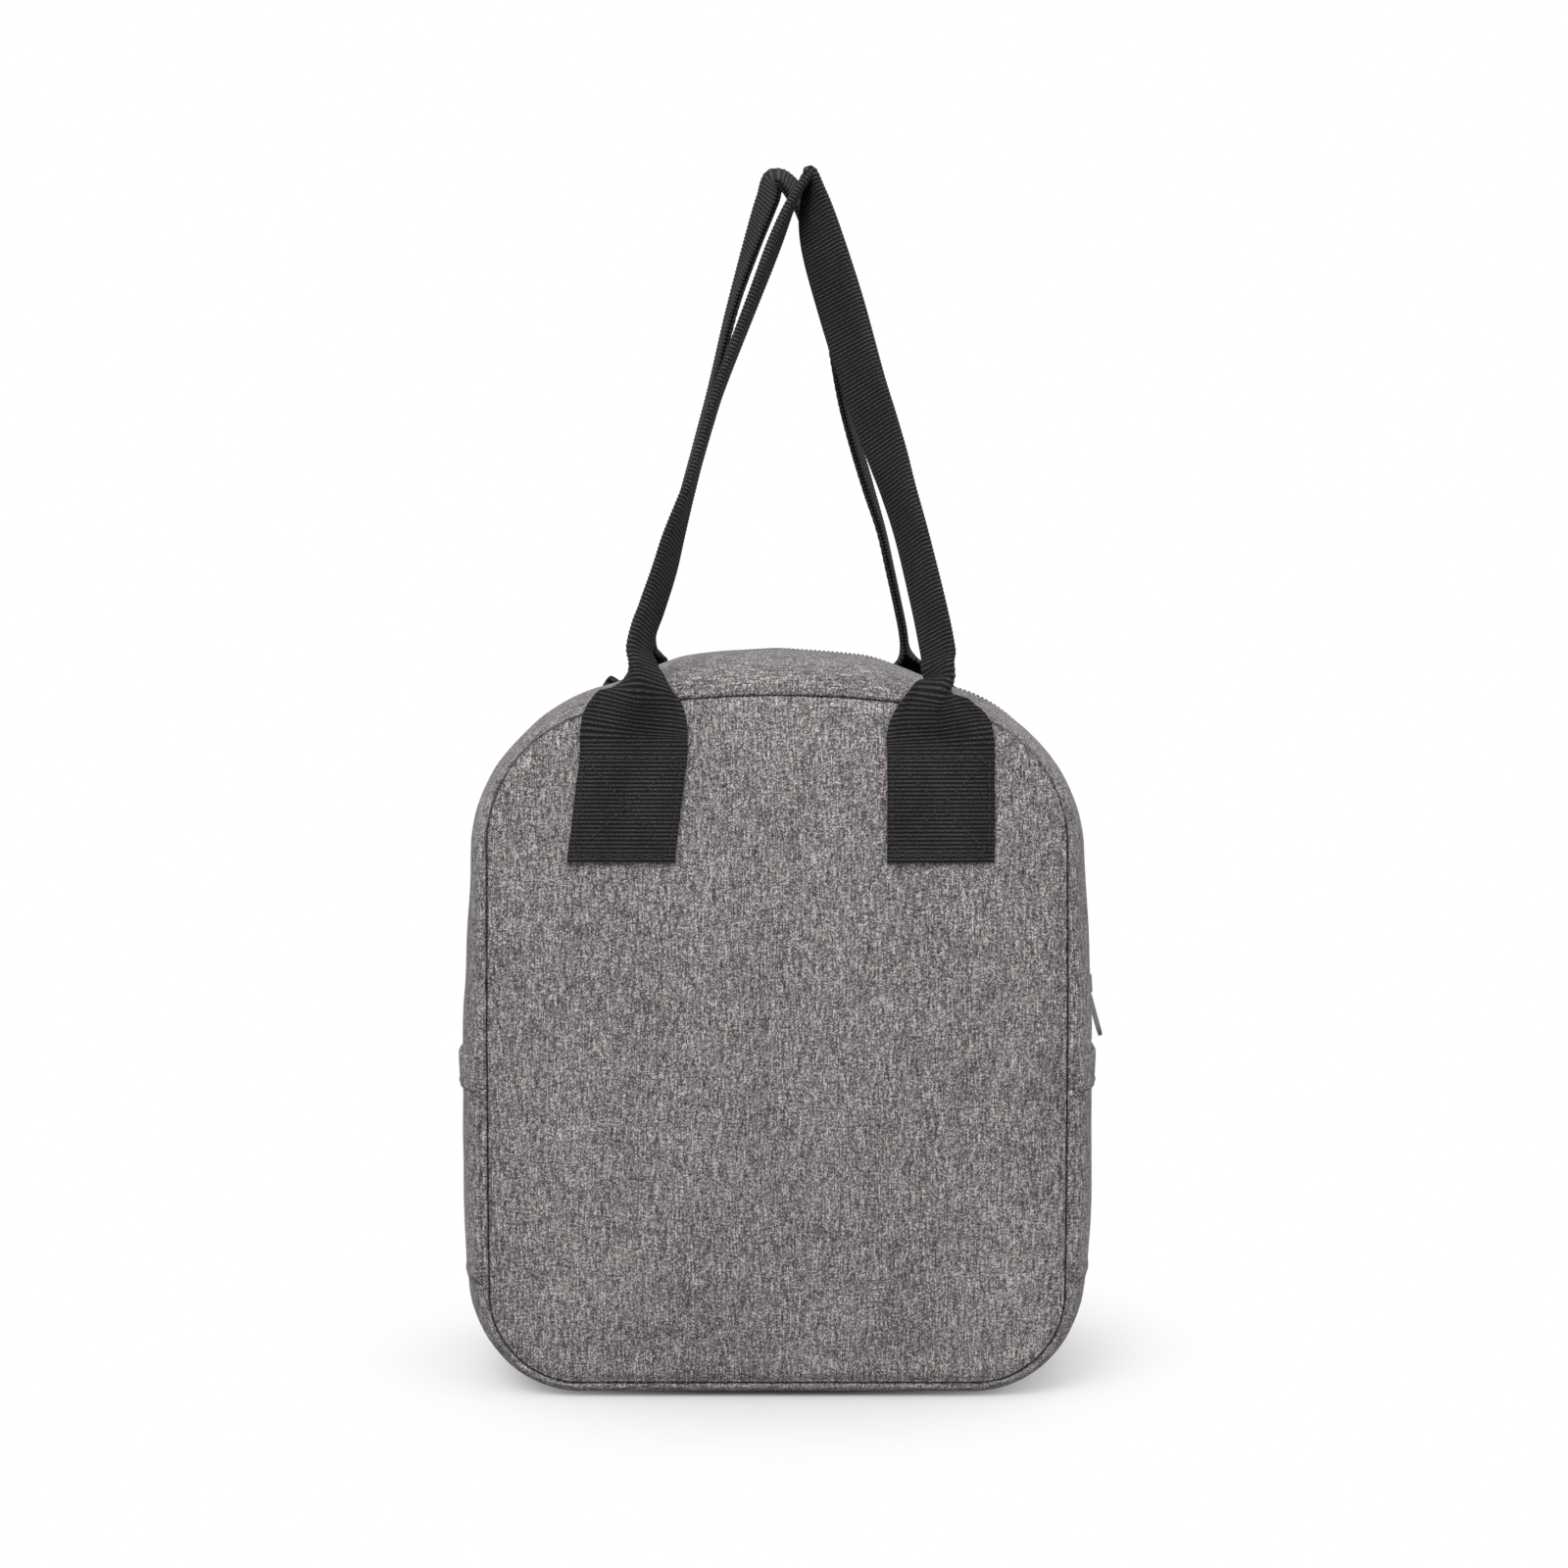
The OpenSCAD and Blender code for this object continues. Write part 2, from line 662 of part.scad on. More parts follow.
module slider_plate(x) {
    translate([x, 0, 0]) rotate([0, 90, 0]) linear_extrude(plate_t) intersection() {
        square([slider_l, slider_w], center = true);
        circle(r = slider_l / 2 + plate_corner, $fn = 48);
    }
}

// The bridge's outline in the plane of the slide: a staple with round shoulders
module bridge_outline() {
    height = bridge_inner + bridge_wall;
    difference() {
        union() {
            translate([top_out - bridge_wall, bridge_z - bridge_l / 2]) square([height, bridge_l]);
            translate([top_out + height - bridge_wall, bridge_z])
                intersection() {
                    circle(r = bridge_l / 2, $fn = 48);
                    translate([0, -bridge_l / 2]) square([bridge_wall, bridge_l]);
                }
        }
        translate([top_out, bridge_z - bridge_l / 2 + bridge_wall])
            square([bridge_inner, bridge_l - 2 * bridge_wall]);
    }
}

module nose_outline() {
    intersection() {
        translate([top_out - plate_t / 2, nose_z]) circle(r = nose_r, $fn = 48);
        translate([top_out - plate_t / 2, nose_z - 2 * nose_r]) square(4 * nose_r);
    }
}

module across(w) {
    rotate([90, 0, 0]) linear_extrude(w, center = true) children();
}

module zipper_slider() {
    color(METAL) at_run(slider_z) union() {
        slider_plate(top_in);
        slider_plate(low_out - plate_t);
        for (side = [-1, 1])
            translate([
                flange_foot, side > 0 ? flange_in : -slider_w / 2, (flange_short - slider_l) / 2
            ])
                cube([
                    top_in - flange_foot + plate_t / 2, slider_w / 2 - flange_in,
                    slider_l - flange_short
                ]);
        translate([low_out - plate_t / 2, -post_half, -slider_l / 2 + post_foot])
            cube([top_in - low_out + plate_t, 2 * post_half, post_l]);
        across(bridge_w) bridge_outline();
        across(nose_w) nose_outline();
    }
}

// The pull: a bar through the bridge, two arms round it and a plate with a round end
bar_r = 0.8;
bar_over = 1;
arm_gap = 0.5;
window_l = 4.4;
pivot_x = top_out + bridge_inner / 2;
module zipper_pull() {
    window_w = bridge_w + 2 * arm_gap;
    color(METAL) at_run(slider_z) translate([pivot_x, 0, bridge_z])
        rotate([0, -rest_lean, 0]) union() {
            rotate([90, 0, 0]) cylinder(r = bar_r, h = window_w + 2 * bar_over, center = true, $fn = 24);
            rotate([0, 90, 0]) linear_extrude(pull_t, center = true) difference() {
                union() {
                    translate([0, -pull_w / 2]) square([pull_l - pull_w / 2, pull_w]);
                    translate([pull_l - pull_w / 2, 0]) circle(d = pull_w, $fn = 48);
                }
                translate([-bar_r, -window_w / 2]) square([window_l + bar_r, window_w]);
            }
        }
}

// Handles. A patch lies flat on its panel; the loop leaves it at the stitching.
patch_gap = 0.3;
patch_l = stitch_z - patch_foot;
PATCH_ROWS = 3;
PATCH_COLS = 4;
module handle_patch(side, x, lean) {
    function place(a, b) = let(u = b * cos(lean) + a * sin(lean), v = a * cos(lean) - b * sin(lean))
        [x + u, patch_foot + v];
    function face(stand) = [
        for (r = [0 : PATCH_ROWS]) [
            for (c = [-PATCH_COLS / 2 : PATCH_COLS / 2])
                let(b = web_w * c / PATCH_COLS,
                    top = (patch_l + b * sin(lean)) / cos(lean) - patch_gap,
                    p = place(top * r / PATCH_ROWS, b))
                [p[0], side * (panel_y(p[0], p[1]) + stand), p[1]]
        ]
    ];
    color(WEBBING) sheet(face(patch_gap + web_t), face(patch_gap));
}

module handle_patch_back_left() {
    handle_patch(-1, -back_spread / 2, patch_lean);
}

module handle_patch_back_right() {
    handle_patch(-1, back_spread / 2, 0);
}

module handle_patch_front_left() {
    handle_patch(1, -front_spread / 2, 0);
}

module handle_patch_front_right() {
    handle_patch(1, front_spread / 2, 0);
}

// Each leg's stations: height share from the stitching to the top, share of the way across from
// the patch to the top, turn of the webbing's width about the vertical, share of its full width
// and number of layers. Above the first stations it is folded in half along its length.
BACK_LEFT_LEG = [
    [0, 0, 0, 1, 1], [0.05, 0, 0, 1, 1], [0.09, 0.02, 2, 0.94, 1], [0.13, 0.05, 18, 0.74, 1.5],
    [0.18, 0.07, 52, 0.5, 2],
    [0.25, 0.09, 64, 0.5, 2], [0.37, 0.21, 72, 0.5, 2], [0.5, 0.34, 84, 0.5, 2],
    [0.635, 0.47, 86, 0.5, 2], [0.77, 0.65, 84, 0.5, 2], [0.88, 0.79, 78, 0.5, 2],
    [0.96, 0.91, 82, 0.5, 2]
];
BACK_RIGHT_LEG = [
    [0, 0, 0, 1, 1], [0.05, 0.02, 0, 1, 1], [0.09, 0.03, -2, 0.94, 1], [0.13, 0.03, -18, 0.74, 1.5],
    [0.18, 0.02, -48, 0.5, 2], [0.25, 0.08, -54, 0.5, 2], [0.37, 0.24, -54, 0.5, 2],
    [0.5, 0.42, -48, 0.5, 2], [0.635, 0.6, -40, 0.5, 2], [0.77, 0.75, -35, 0.5, 2],
    [0.88, 0.89, -40, 0.5, 2], [0.96, 0.98, -62, 0.5, 2]
];
FRONT_LEFT_LEG = [
    [0, 0, 0, 1, 1], [0.05, 0.02, 0, 1, 1], [0.09, 0.06, 0, 0.96, 1],
    [0.14, 0.14, -14, 0.76, 1.5], [0.19, 0.2, -50, 0.5, 2],
    [0.25, 0.23, -66, 0.5, 2], [0.37, 0.28, -80, 0.5, 2], [0.5, 0.4, -82, 0.5, 2],
    [0.635, 0.53, -84, 0.5, 2], [0.77, 0.67, -82, 0.5, 2],
    [0.88, 0.81, -78, 0.5, 2], [0.96, 0.93, -82, 0.5, 2]
];
FRONT_RIGHT_LEG = [
    [0, 0, 0, 1, 1], [0.05, 0, 0, 1, 1], [0.09, 0.01, 0, 0.96, 1], [0.14, 0.02, 14, 0.76, 1.5],
    [0.19, 0.05, 50, 0.5, 2],
    [0.25, 0.12, 80, 0.5, 2], [0.37, 0.25, 80, 0.5, 2], [0.5, 0.43, 78, 0.5, 2],
    [0.635, 0.57, 82, 0.5, 2], [0.77, 0.69, 80, 0.5, 2], [0.88, 0.8, 76, 0.5, 2],
    [0.96, 0.92, 80, 0.5, 2]
];

// The legs stand straight at first and then lean in, until the two tops lie side by side
straight_share = 0.11;
top_gap = 1.6;
leg_stand = patch_gap + 0.2;
leg_y = half_d + fabric_t + crown * bow(back_spread / 2, stitch_z) + leg_stand + web_t / 2;
top_y = web_w / 4 + top_gap;
function lean_y(f) = leg_y + (top_y - leg_y) * max(0, f - straight_share) / (1 - straight_share);

// A station as place, turn, width and thickness
function station(s, foot_x, top_x, side) = [
    foot_x + (top_x - foot_x) * s[1], side * lean_y(s[0]),
    stitch_z + patch_gap + (handle_top - web_t * 1.5 - stitch_z) * s[0],
    s[2], web_w * s[3], web_t * s[4]
];

// A smooth curve through stations: the point at u from station i to station i + 1
function bend(p, i, u) =
    let(a = p[max(0, i - 1)], b = p[i], c = p[i + 1], d = p[min(len(p) - 1, i + 2)])
    (2 * b + (c - a) * u + (2 * a - 5 * b + 4 * c - d) * u * u
        + (3 * b - a - 3 * c + d) * u * u * u) / 2;

WEB_STEPS = 2;
module handle_loop(side, left_leg, right_leg, foot_l, foot_r, top_x) {
    top_turn = side < 0 ? 90 : -90;
    left = [for (s = left_leg) station(s, foot_l, top_x, side)];
    top = station([1, 1, top_turn, 0.5, 2], foot_l, top_x, side);
    right = [
        for (i = [len(right_leg) - 1 : -1 : 0])
            let(s = station(right_leg[i], foot_r, top_x, side))
            [s[0], s[1], s[2], s[3] + 2 * top_turn, s[4], s[5]]
    ];
    keys = concat(left, [top], right);
    path = [
        for (i = [0 : len(keys) - 2], k = [0 : WEB_STEPS - 1]) bend(keys, i, k / WEB_STEPS),
        keys[len(keys) - 1]
    ];
    last = len(path) - 1;
    function point(i) = [path[i][0], path[i][1], path[i][2]];
    function along(i) =
        i == 0 ? [0, 0, 1] : i == last ? [0, 0, -1] : unit(point(i + 1) - point(i - 1));
    function ring(i) =
        let(ahead = along(i),
            flat = [cos(path[i][3]), sin(path[i][3]), 0],
            wide = unit(flat - ahead * (flat * ahead)),
            thick = cross(ahead, wide),
            w = path[i][4] / 2, t = path[i][5] / 2, r = min(t, 0.6))
        [for (q = [[-w, 0], [-w + r, -t], [w - r, -t], [w, 0], [w - r, t], [-w + r, t]])
            point(i) + wide * q[0] + thick * q[1]];
    color(WEBBING) bar([for (i = [0 : last]) ring(i)]);
}

function unit(v) = v / norm(v);

module handle_loop_back() {
    left_x = -back_spread / 2 + patch_l * tan(patch_lean);
    handle_loop(-1, BACK_LEFT_LEG, BACK_RIGHT_LEG, left_x, back_spread / 2, back_top_x);
}

module handle_loop_front() {
    handle_loop(1, FRONT_LEFT_LEG, FRONT_RIGHT_LEG, -front_spread / 2, front_spread / 2,
        front_top_x);
}

back_panel();
back_foam();
back_lining();
lower_gusset();
lower_gusset_foam();
lower_gusset_lining();
upper_gusset_back();
upper_gusset_back_foam();
upper_gusset_back_lining();
front_gusset_stub();
front_gusset_stub_foam();
front_gusset_stub_lining();
front_panel_lower();
front_foam_lower();
front_lining_lower();
side_pocket_left();
side_pocket_right();
pocket_hem_left();
pocket_hem_right();
zipper_tape_back();
zipper_teeth_back();
zipper_tape_stub();
zipper_teeth_stub();
zipper_stops();
zipper_tail_left();
zipper_tail_right();
seam_binding_back();
seam_binding_front_lower();
handle_patch_back_left();
handle_patch_back_right();
front_panel_upper();
front_foam_upper();
front_lining_upper();
front_gusset_flap();
front_gusset_flap_foam();
front_gusset_flap_lining();
zipper_tape_front();
zipper_teeth_front();
seam_binding_front_upper();
handle_patch_front_left();
handle_patch_front_right();
handle_loop_back();
handle_loop_front();
zipper_slider();
zipper_pull();
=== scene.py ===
"""Insulated lunch bag: soft outside, zipper, handles and studio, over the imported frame.

Everything is in metres in the frame's axes: +Z up, +Y to the front that opens, X across.
"""
from math import asin, copysign, cos, exp, pi, radians, sin, sqrt, tan

import bmesh
import bpy
import numpy as np
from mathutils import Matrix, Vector, noise
from mathutils.kdtree import KDTree


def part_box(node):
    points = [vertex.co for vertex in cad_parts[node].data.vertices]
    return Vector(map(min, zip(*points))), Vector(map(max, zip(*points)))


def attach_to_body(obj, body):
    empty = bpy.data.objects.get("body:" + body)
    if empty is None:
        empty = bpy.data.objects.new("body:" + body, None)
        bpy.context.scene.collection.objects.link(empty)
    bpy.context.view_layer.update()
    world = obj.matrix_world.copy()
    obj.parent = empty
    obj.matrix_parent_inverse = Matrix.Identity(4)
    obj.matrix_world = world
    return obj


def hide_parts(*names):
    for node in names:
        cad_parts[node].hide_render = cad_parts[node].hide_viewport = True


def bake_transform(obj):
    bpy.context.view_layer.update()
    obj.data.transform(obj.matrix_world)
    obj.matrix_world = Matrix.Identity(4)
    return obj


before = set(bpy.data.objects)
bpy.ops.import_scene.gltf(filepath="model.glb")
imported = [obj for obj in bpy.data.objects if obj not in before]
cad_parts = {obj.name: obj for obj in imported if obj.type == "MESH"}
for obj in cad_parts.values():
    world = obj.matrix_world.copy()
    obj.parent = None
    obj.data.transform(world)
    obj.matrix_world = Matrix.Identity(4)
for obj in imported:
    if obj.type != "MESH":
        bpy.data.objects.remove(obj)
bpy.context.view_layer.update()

MM = 0.001


def link(name, data):
    piece = bpy.data.objects.new(name, data)
    bpy.context.scene.collection.objects.link(piece)
    return piece


# ---------------- camera

CAMERA_AT = (0.0024, -1.166, 0.307)
CAMERA_TILT = 4.42  # degrees below the horizon
CAMERA_FIELD = 28.1  # degrees across the square picture
SENSOR = 36.0


def make_camera():
    data = bpy.data.cameras.new("camera")
    data.sensor_width = SENSOR
    data.lens = SENSOR / 2 / tan(radians(CAMERA_FIELD / 2))
    camera = link("camera", data)
    camera.location = CAMERA_AT
    camera.rotation_euler = (radians(90 - CAMERA_TILT), 0, 0)
    bpy.context.scene.camera = camera


make_camera()


# ---------------- sizes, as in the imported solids

PANEL_LOW, PANEL_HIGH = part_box("back_panel")
HALF_W = PANEL_HIGH.x
SEAM_LIFT, SEAM_TOP = PANEL_LOW.z, PANEL_HIGH.z
SEAM_CLEAR = 0.05 * MM
HALF_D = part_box("lower_gusset")[1].y + SEAM_CLEAR
SEAM_Y = HALF_D - SEAM_CLEAR
CROWN = 5 * MM
TOP_R, BOTTOM_R = 47 * MM, 31 * MM
ARCH_SLOPE = radians(8.3)
BASE_FLAT = 0.6  # share of the base's depth that lies flat

FABRIC_T, FOAM_T, LINING_T, TAPE_T = 0.8 * MM, 3 * MM, 0.6 * MM, 0.6 * MM
# How deep each layer lies below the gusset's surface and below a panel's
TAPE_IN, FOAM_IN, LINING_IN = 1.1 * MM, 1.8 * MM, 4.9 * MM
PANEL_FOAM_IN, PANEL_LINING_IN, PANEL_WALL = 0.9 * MM, 4.0 * MM, 4.6 * MM
CORE_Y = HALF_D + FABRIC_T - PANEL_WALL - 0.1 * MM
INSET = 1.1 * MM

ZIP_Y = 27 * MM
SLOT_HALF = 7 * MM
SLOT_BACK, SLOT_FRONT = ZIP_Y - SLOT_HALF, ZIP_Y + SLOT_HALF
TAPE_TUCK = 4 * MM
ROW_GAP = 1.4 * MM
CHAIN_FOOT = 126 * MM
JOIN_Z = 112 * MM
RUN_FOOT = CHAIN_FOOT - 1 * MM
RUN_HEAD = 196 * MM

FOLD_Z = (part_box("front_panel_lower")[1].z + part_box("front_panel_upper")[0].z) / 2
FOLD_HALF = 10 * MM
STITCH_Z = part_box("handle_loop_back")[0].z - 0.3 * MM
HANDLE_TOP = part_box("handle_loop_back")[1].z
PATCH_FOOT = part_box("handle_patch_back_right")[0].z
BACK_FEET = (-55.3 * MM, 57.8 * MM)
FRONT_FEET = (-53 * MM, 53 * MM)

MOUTH_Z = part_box("side_pocket_right")[1].z
POCKET_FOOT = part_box("side_pocket_right")[0].z
HEM_W = 12 * MM

WEB_W = 38 * MM
WEB_T = 1.3 * MM
RIB_PITCH = 1.45 * MM


# ---------------- the seam's outline and the bulge

FOOT_CORNER, SIDE, TOP_CORNER, ARCH, MIDDLE = 1, 2, 3, 4, 5
SIDE_FOOT = SEAM_LIFT + BOTTOM_R
ARCH_R = (HALF_W - TOP_R + TOP_R * sin(ARCH_SLOPE)) / sin(ARCH_SLOPE)
SIDE_HEAD = SEAM_TOP - TOP_R * cos(ARCH_SLOPE) - ARCH_R * (1 - cos(ARCH_SLOPE))


def clamp(v):
    return max(0.0, min(1.0, v))


def soften(v):
    c = clamp(v)
    return c * c * (3 - 2 * c)


def arc_point(x, z, r, a):
    return x + r * cos(a), z + r * sin(a), cos(a), sin(a)


def half_outline(t):
    """x, z and the outward normal, from the middle of the foot (0) to the middle of the top (5)."""
    if t < FOOT_CORNER:
        return t * (HALF_W - BOTTOM_R), SEAM_LIFT, 0.0, -1.0
    if t < SIDE:
        turn = radians(90 * (t - FOOT_CORNER) - 90)
        return arc_point(HALF_W - BOTTOM_R, SIDE_FOOT, BOTTOM_R, turn)
    if t < TOP_CORNER:
        return HALF_W, SIDE_FOOT + (t - SIDE) * (SIDE_HEAD - SIDE_FOOT), 1.0, 0.0
    if t < ARCH:
        turn = (pi / 2 - ARCH_SLOPE) * (t - TOP_CORNER)
        return arc_point(HALF_W - TOP_R, SIDE_HEAD, TOP_R, turn)
    return arc_point(0, SEAM_TOP - ARCH_R, ARCH_R, pi / 2 - ARCH_SLOPE * (MIDDLE - t))


def mirrored(v, middle):
    return -v if v < 0 else 2 * middle - v if v > middle else v


def half_t(t):
    return mirrored(t, MIDDLE)


def outline(t):
    """The same all round: up the right side from 0 to 5 and down the left one from 5 to 10."""
    x, z, nx, nz = half_outline(half_t(t))
    return (-x, z, -nx, nz) if t < 0 or t > MIDDLE else (x, z, nx, nz)


def side_t(z):
    return SIDE + (z - SIDE_FOOT) / (SIDE_HEAD - SIDE_FOOT)


def both_sides(t):
    return t, 2 * MIDDLE - t


JOIN_T = side_t(JOIN_Z)
LOWER = (-JOIN_T, JOIN_T)
UPPER = both_sides(JOIN_T + 0.002)
# How far the gusset's middle stands outside the seams, at places from the foot to the top
BULGE_AT = [0, FOOT_CORNER, 1.5, SIDE, side_t(66 * MM), side_t(CHAIN_FOOT - 8 * MM),
            side_t(RUN_FOOT), side_t(RUN_HEAD), 3.5, ARCH, 4.45, MIDDLE]
BULGE = np.array([6.5, 6.5, 8.55, 11, 13, 13, 14.2, 9, 5.5, 6.5, 14.5, 16]) * MM
BULGE_SOFTNESS = 0.06
FLAT_END, FLAT_FADE = 1.6, 0.6  # where the base's flat share is gone, and over how long a stretch


def bulge(t):
    near = [half_t(t + k * BULGE_SOFTNESS / 2) for k in (-2, -1, 0, 1, 2)]
    return float(np.interp(near, BULGE_AT, BULGE).mean())


def flat_share(t):
    return BASE_FLAT * clamp((FLAT_END - half_t(t)) / FLAT_FADE)


def profile(u, flat):
    """The bulge's height across the depth, as a share: 1 on the flat and 0 at the seams."""
    v = clamp((abs(u) - flat) / (1 - flat))
    return (1 - v**3) ** (1 / 3)


SPOT_Y, SPOT_HALF = -15 * MM, 37 * MM  # middle and half width of the hollow at a pocket's mouth
SIDE_DIP, MOUTH_DIP = 3.6 * MM, 1.6 * MM  # how deep it is in the gusset and in the pocket's cloth
DIP_RISE, DIP_FALL, DIP_END = 34 * MM, 40 * MM, RUN_HEAD - 26 * MM
UPRIGHT = (1.5, 3.5)  # the places between which a side counts as upright


def spot(y):
    off = abs(y - SPOT_Y) / SPOT_HALF
    return cos(pi / 2 * off) ** 2 if off < 1 else 0.0


def side_height(t):
    return outline(t)[1] if UPRIGHT[0] < half_t(t) < UPRIGHT[1] else 0.0


def side_dip(t, y):
    z = side_height(t)
    low = soften((z - POCKET_FOOT) / DIP_RISE)
    return SIDE_DIP * spot(y) * low * soften((DIP_END - z) / DIP_FALL)


def mouth_dip(t, y):
    share = (side_height(t) - POCKET_FOOT) / (MOUTH_Z - POCKET_FOOT - 5 * MM)
    return MOUTH_DIP * spot(y) * soften(share)


BROAD, FINE, FINE_UP = 22, 46, 70  # swells and creases in a metre
BROAD_SHARE, FINE_SHARE = 0.75, 0.35


def ripple(p, size):
    """Soft unevenness of padded cloth: broad swells with a few shallow creases."""
    broad = noise.noise(p * BROAD + Vector((3.1, 0.7, 5.3)))
    fine = noise.noise(Vector((p.x * FINE, p.y * FINE, p.z * FINE_UP)) + Vector((9.4, 2.2, 1.9)))
    return size * (BROAD_SHARE * broad + FINE_SHARE * fine)


LEAST_IN = 0.5 * MM  # the cloth creases no deeper than this, so that it stays off the foam
# The distances over which the cloth grows calm near a seam, a pocket's seam, a patch and the floor
SEAM_CALM, POCKET_CALM, PATCH_CALM, FLOOR_CALM = 10 * MM, 12 * MM, 14 * MM, 8 * MM
DITCH, DITCH_W = 1.2 * MM, 1.6 * MM


def skin(t, y, d, give):
    """A point of the gusset, d below its surface, drawn in where it meets a seam."""
    x, z, nx, nz = outline(t)
    rise = bulge(t) * profile(y / HALF_D, flat_share(t))
    pull = DITCH * exp(-((rise / DITCH_W) ** 2)) * copysign(1, y)
    out = rise - d - give
    return Vector((x + nx * out, y - pull, z + nz * out))


def gusset_point(t, y, d):
    return skin(t, y, d, side_dip(t, y))


def pocket_point(t, y, d):
    return skin(t, y, d, mouth_dip(t, y))


# ---------------- meshes

CENTRE = (0, 0, 0.13)


def make_mesh(name, verts, faces, spots, material):
    """A smooth mesh. The spots are the weave's coordinates in metres at the faces' corners."""
    mesh = bpy.data.meshes.new(name)
    mesh.from_pydata([tuple(v) for v in verts], [], faces)
    layer = mesh.uv_layers.new(name="weave")
    layer.data.foreach_set("uv", np.array(spots, dtype=np.float32).ravel())
    mesh.materials.append(material)
    mesh.polygons.foreach_set("use_smooth", [True] * len(mesh.polygons))
    return link(name, mesh)


def tube_faces(first, rings, sides):
    """The walls of a tube whose rings of corners follow each other from first, and its two ends."""
    faces = []
    for start in range(first, first + (rings - 1) * sides, sides):
        for q in range(sides):
            a, b = start + q, start + (q + 1) % sides
            faces.append((a, b, b + sides, a + sides))
    end = first + (rings - 1) * sides
    return faces + [tuple(range(first, first + sides))[::-1], tuple(range(end, end + sides))]


def make_tubes(name, verts, faces, spots, material):
    return make_mesh(name, verts, faces, [spots[i] for face in faces for i in face], material)


def run_of(points):
    """The distance of each point from the first, along the line."""
    return np.concatenate([[0], np.cumsum(np.linalg.norm(np.diff(points, axis=0), axis=1))])


def grid_lengths(grid):
    """Distances along the columns and along the rows, for the weave's coordinates."""
    down = np.linalg.norm(np.diff(grid, axis=0), axis=2).mean(axis=1)
    across = np.linalg.norm(np.diff(grid, axis=1), axis=2).mean(axis=0)
    return [np.concatenate([[0], np.cumsum(steps)]) for steps in (across, down)]


def grid_normals(grid, ring=False):
    down, across = np.gradient(grid, axis=(0, 1))
    if ring:
        down = np.roll(grid, -1, axis=0) - np.roll(grid, 1, axis=0)
    n = np.cross(down, across)
    return n / np.maximum(np.linalg.norm(n, axis=2, keepdims=True), 1e-12)


def shell(name, outer, inner, material, ring=False, uv=None, pole=False):
    """A closed sheet between two grids. A ring's last row joins its first, and a pole's last column
    is one point."""
    rows, cols = outer.shape[:2]
    u, v = uv if uv else grid_lengths(outer)
    if np.ndim(u) == 1:
        u, v = np.meshgrid(u, v)
    quads = []

    def wall(a, b):
        quads.append([(0, *a), (0, *b), (1, *b), (1, *a)])

    for r in range(rows if ring else rows - 1):
        for c in range(cols - 1):
            quads.append([(0, r, c), (0, r + 1, c), (0, r + 1, c + 1), (0, r, c + 1)])
            quads.append([(1, r, c), (1, r, c + 1), (1, r + 1, c + 1), (1, r + 1, c)])
        wall((r + 1, 0), (r, 0))
        if not pole:
            wall((r, cols - 1), (r + 1, cols - 1))
    if not ring:
        for c in range(cols - 1):
            wall((0, c), (0, c + 1))
            wall((rows - 1, c + 1), (rows - 1, c))
    if np.sum(grid_normals(outer, ring) * (outer - inner)) < 0:
        quads = [quad[::-1] for quad in quads]

    verts = np.concatenate([outer.reshape(-1, 3), inner.reshape(-1, 3)])
    faces = [[(face * rows + r % rows) * cols + c for face, r, c in quad] for quad in quads]
    spots = [(u[r % rows, c], v[r, c] if r < rows else v[-1, c] + (v[1, c] - v[0, c]))
             for quad in quads for face, r, c in quad]
    piece = make_mesh(name, verts, faces, spots, material)
    if pole:
        weld(piece)
    return piece


def weld(piece, near=1e-6):
    made = bmesh.new()
    made.from_mesh(piece.data)
    bmesh.ops.remove_doubles(made, verts=made.verts, dist=near)
    bmesh.ops.dissolve_degenerate(made, edges=made.edges, dist=near)
    made.to_mesh(piece.data)
    made.free()


def thick(name, grid, thickness, material, round_ends=False):
    """A sheet of even thickness under a grid; round_ends rounds the first and the last column."""
    n = grid_normals(grid)
    if np.sum(n * (grid - np.array(CENTRE))) < 0:
        n = -n
    lost = np.zeros(grid.shape[:2])
    reach = thickness / 2
    for turn in (1, -1) if round_ends else ():
        edge = grid[:, ::turn]
        away = np.array([run_of(row) for row in edge])
        fall = reach * (1 - np.sqrt(1 - (1 - np.clip(away / reach, 0, 1)) ** 2)) * 0.98
        lost += fall[:, ::turn]
    outer, inner = [grid - n * deep[..., None] for deep in (lost, thickness - lost)]
    return shell(name, outer, inner, material)


def spaced(a, b, step):
    count = max(1, round(abs(b - a) / step))
    return [a + (b - a) * k / count for k in range(count + 1)]


# The outline's length up to each of its corners
CORNERS = range(MIDDLE + 1)
LENGTHS = np.cumsum([0, HALF_W - BOTTOM_R, BOTTOM_R * pi / 2, SIDE_HEAD - SIDE_FOOT,
                     TOP_R * (pi / 2 - ARCH_SLOPE), ARCH_R * ARCH_SLOPE])
HALF_ROUND = float(LENGTHS[-1])


def length_of(t):
    half = float(np.interp(half_t(t), CORNERS, LENGTHS))
    return -half if t < 0 else 2 * HALF_ROUND - half if t > MIDDLE else half


def t_at(length):
    t = float(np.interp(mirrored(length, HALF_ROUND), LENGTHS, CORNERS))
    return -t if length < 0 else 2 * MIDDLE - t if length > HALF_ROUND else t


def places(a, b, step=2.5 * MM):
    """Places from a to b, evenly spaced along the outline."""
    return [t_at(s) for s in spaced(length_of(a), length_of(b), step)]


ROUND_TRIP = (0, 2 * MIDDLE)


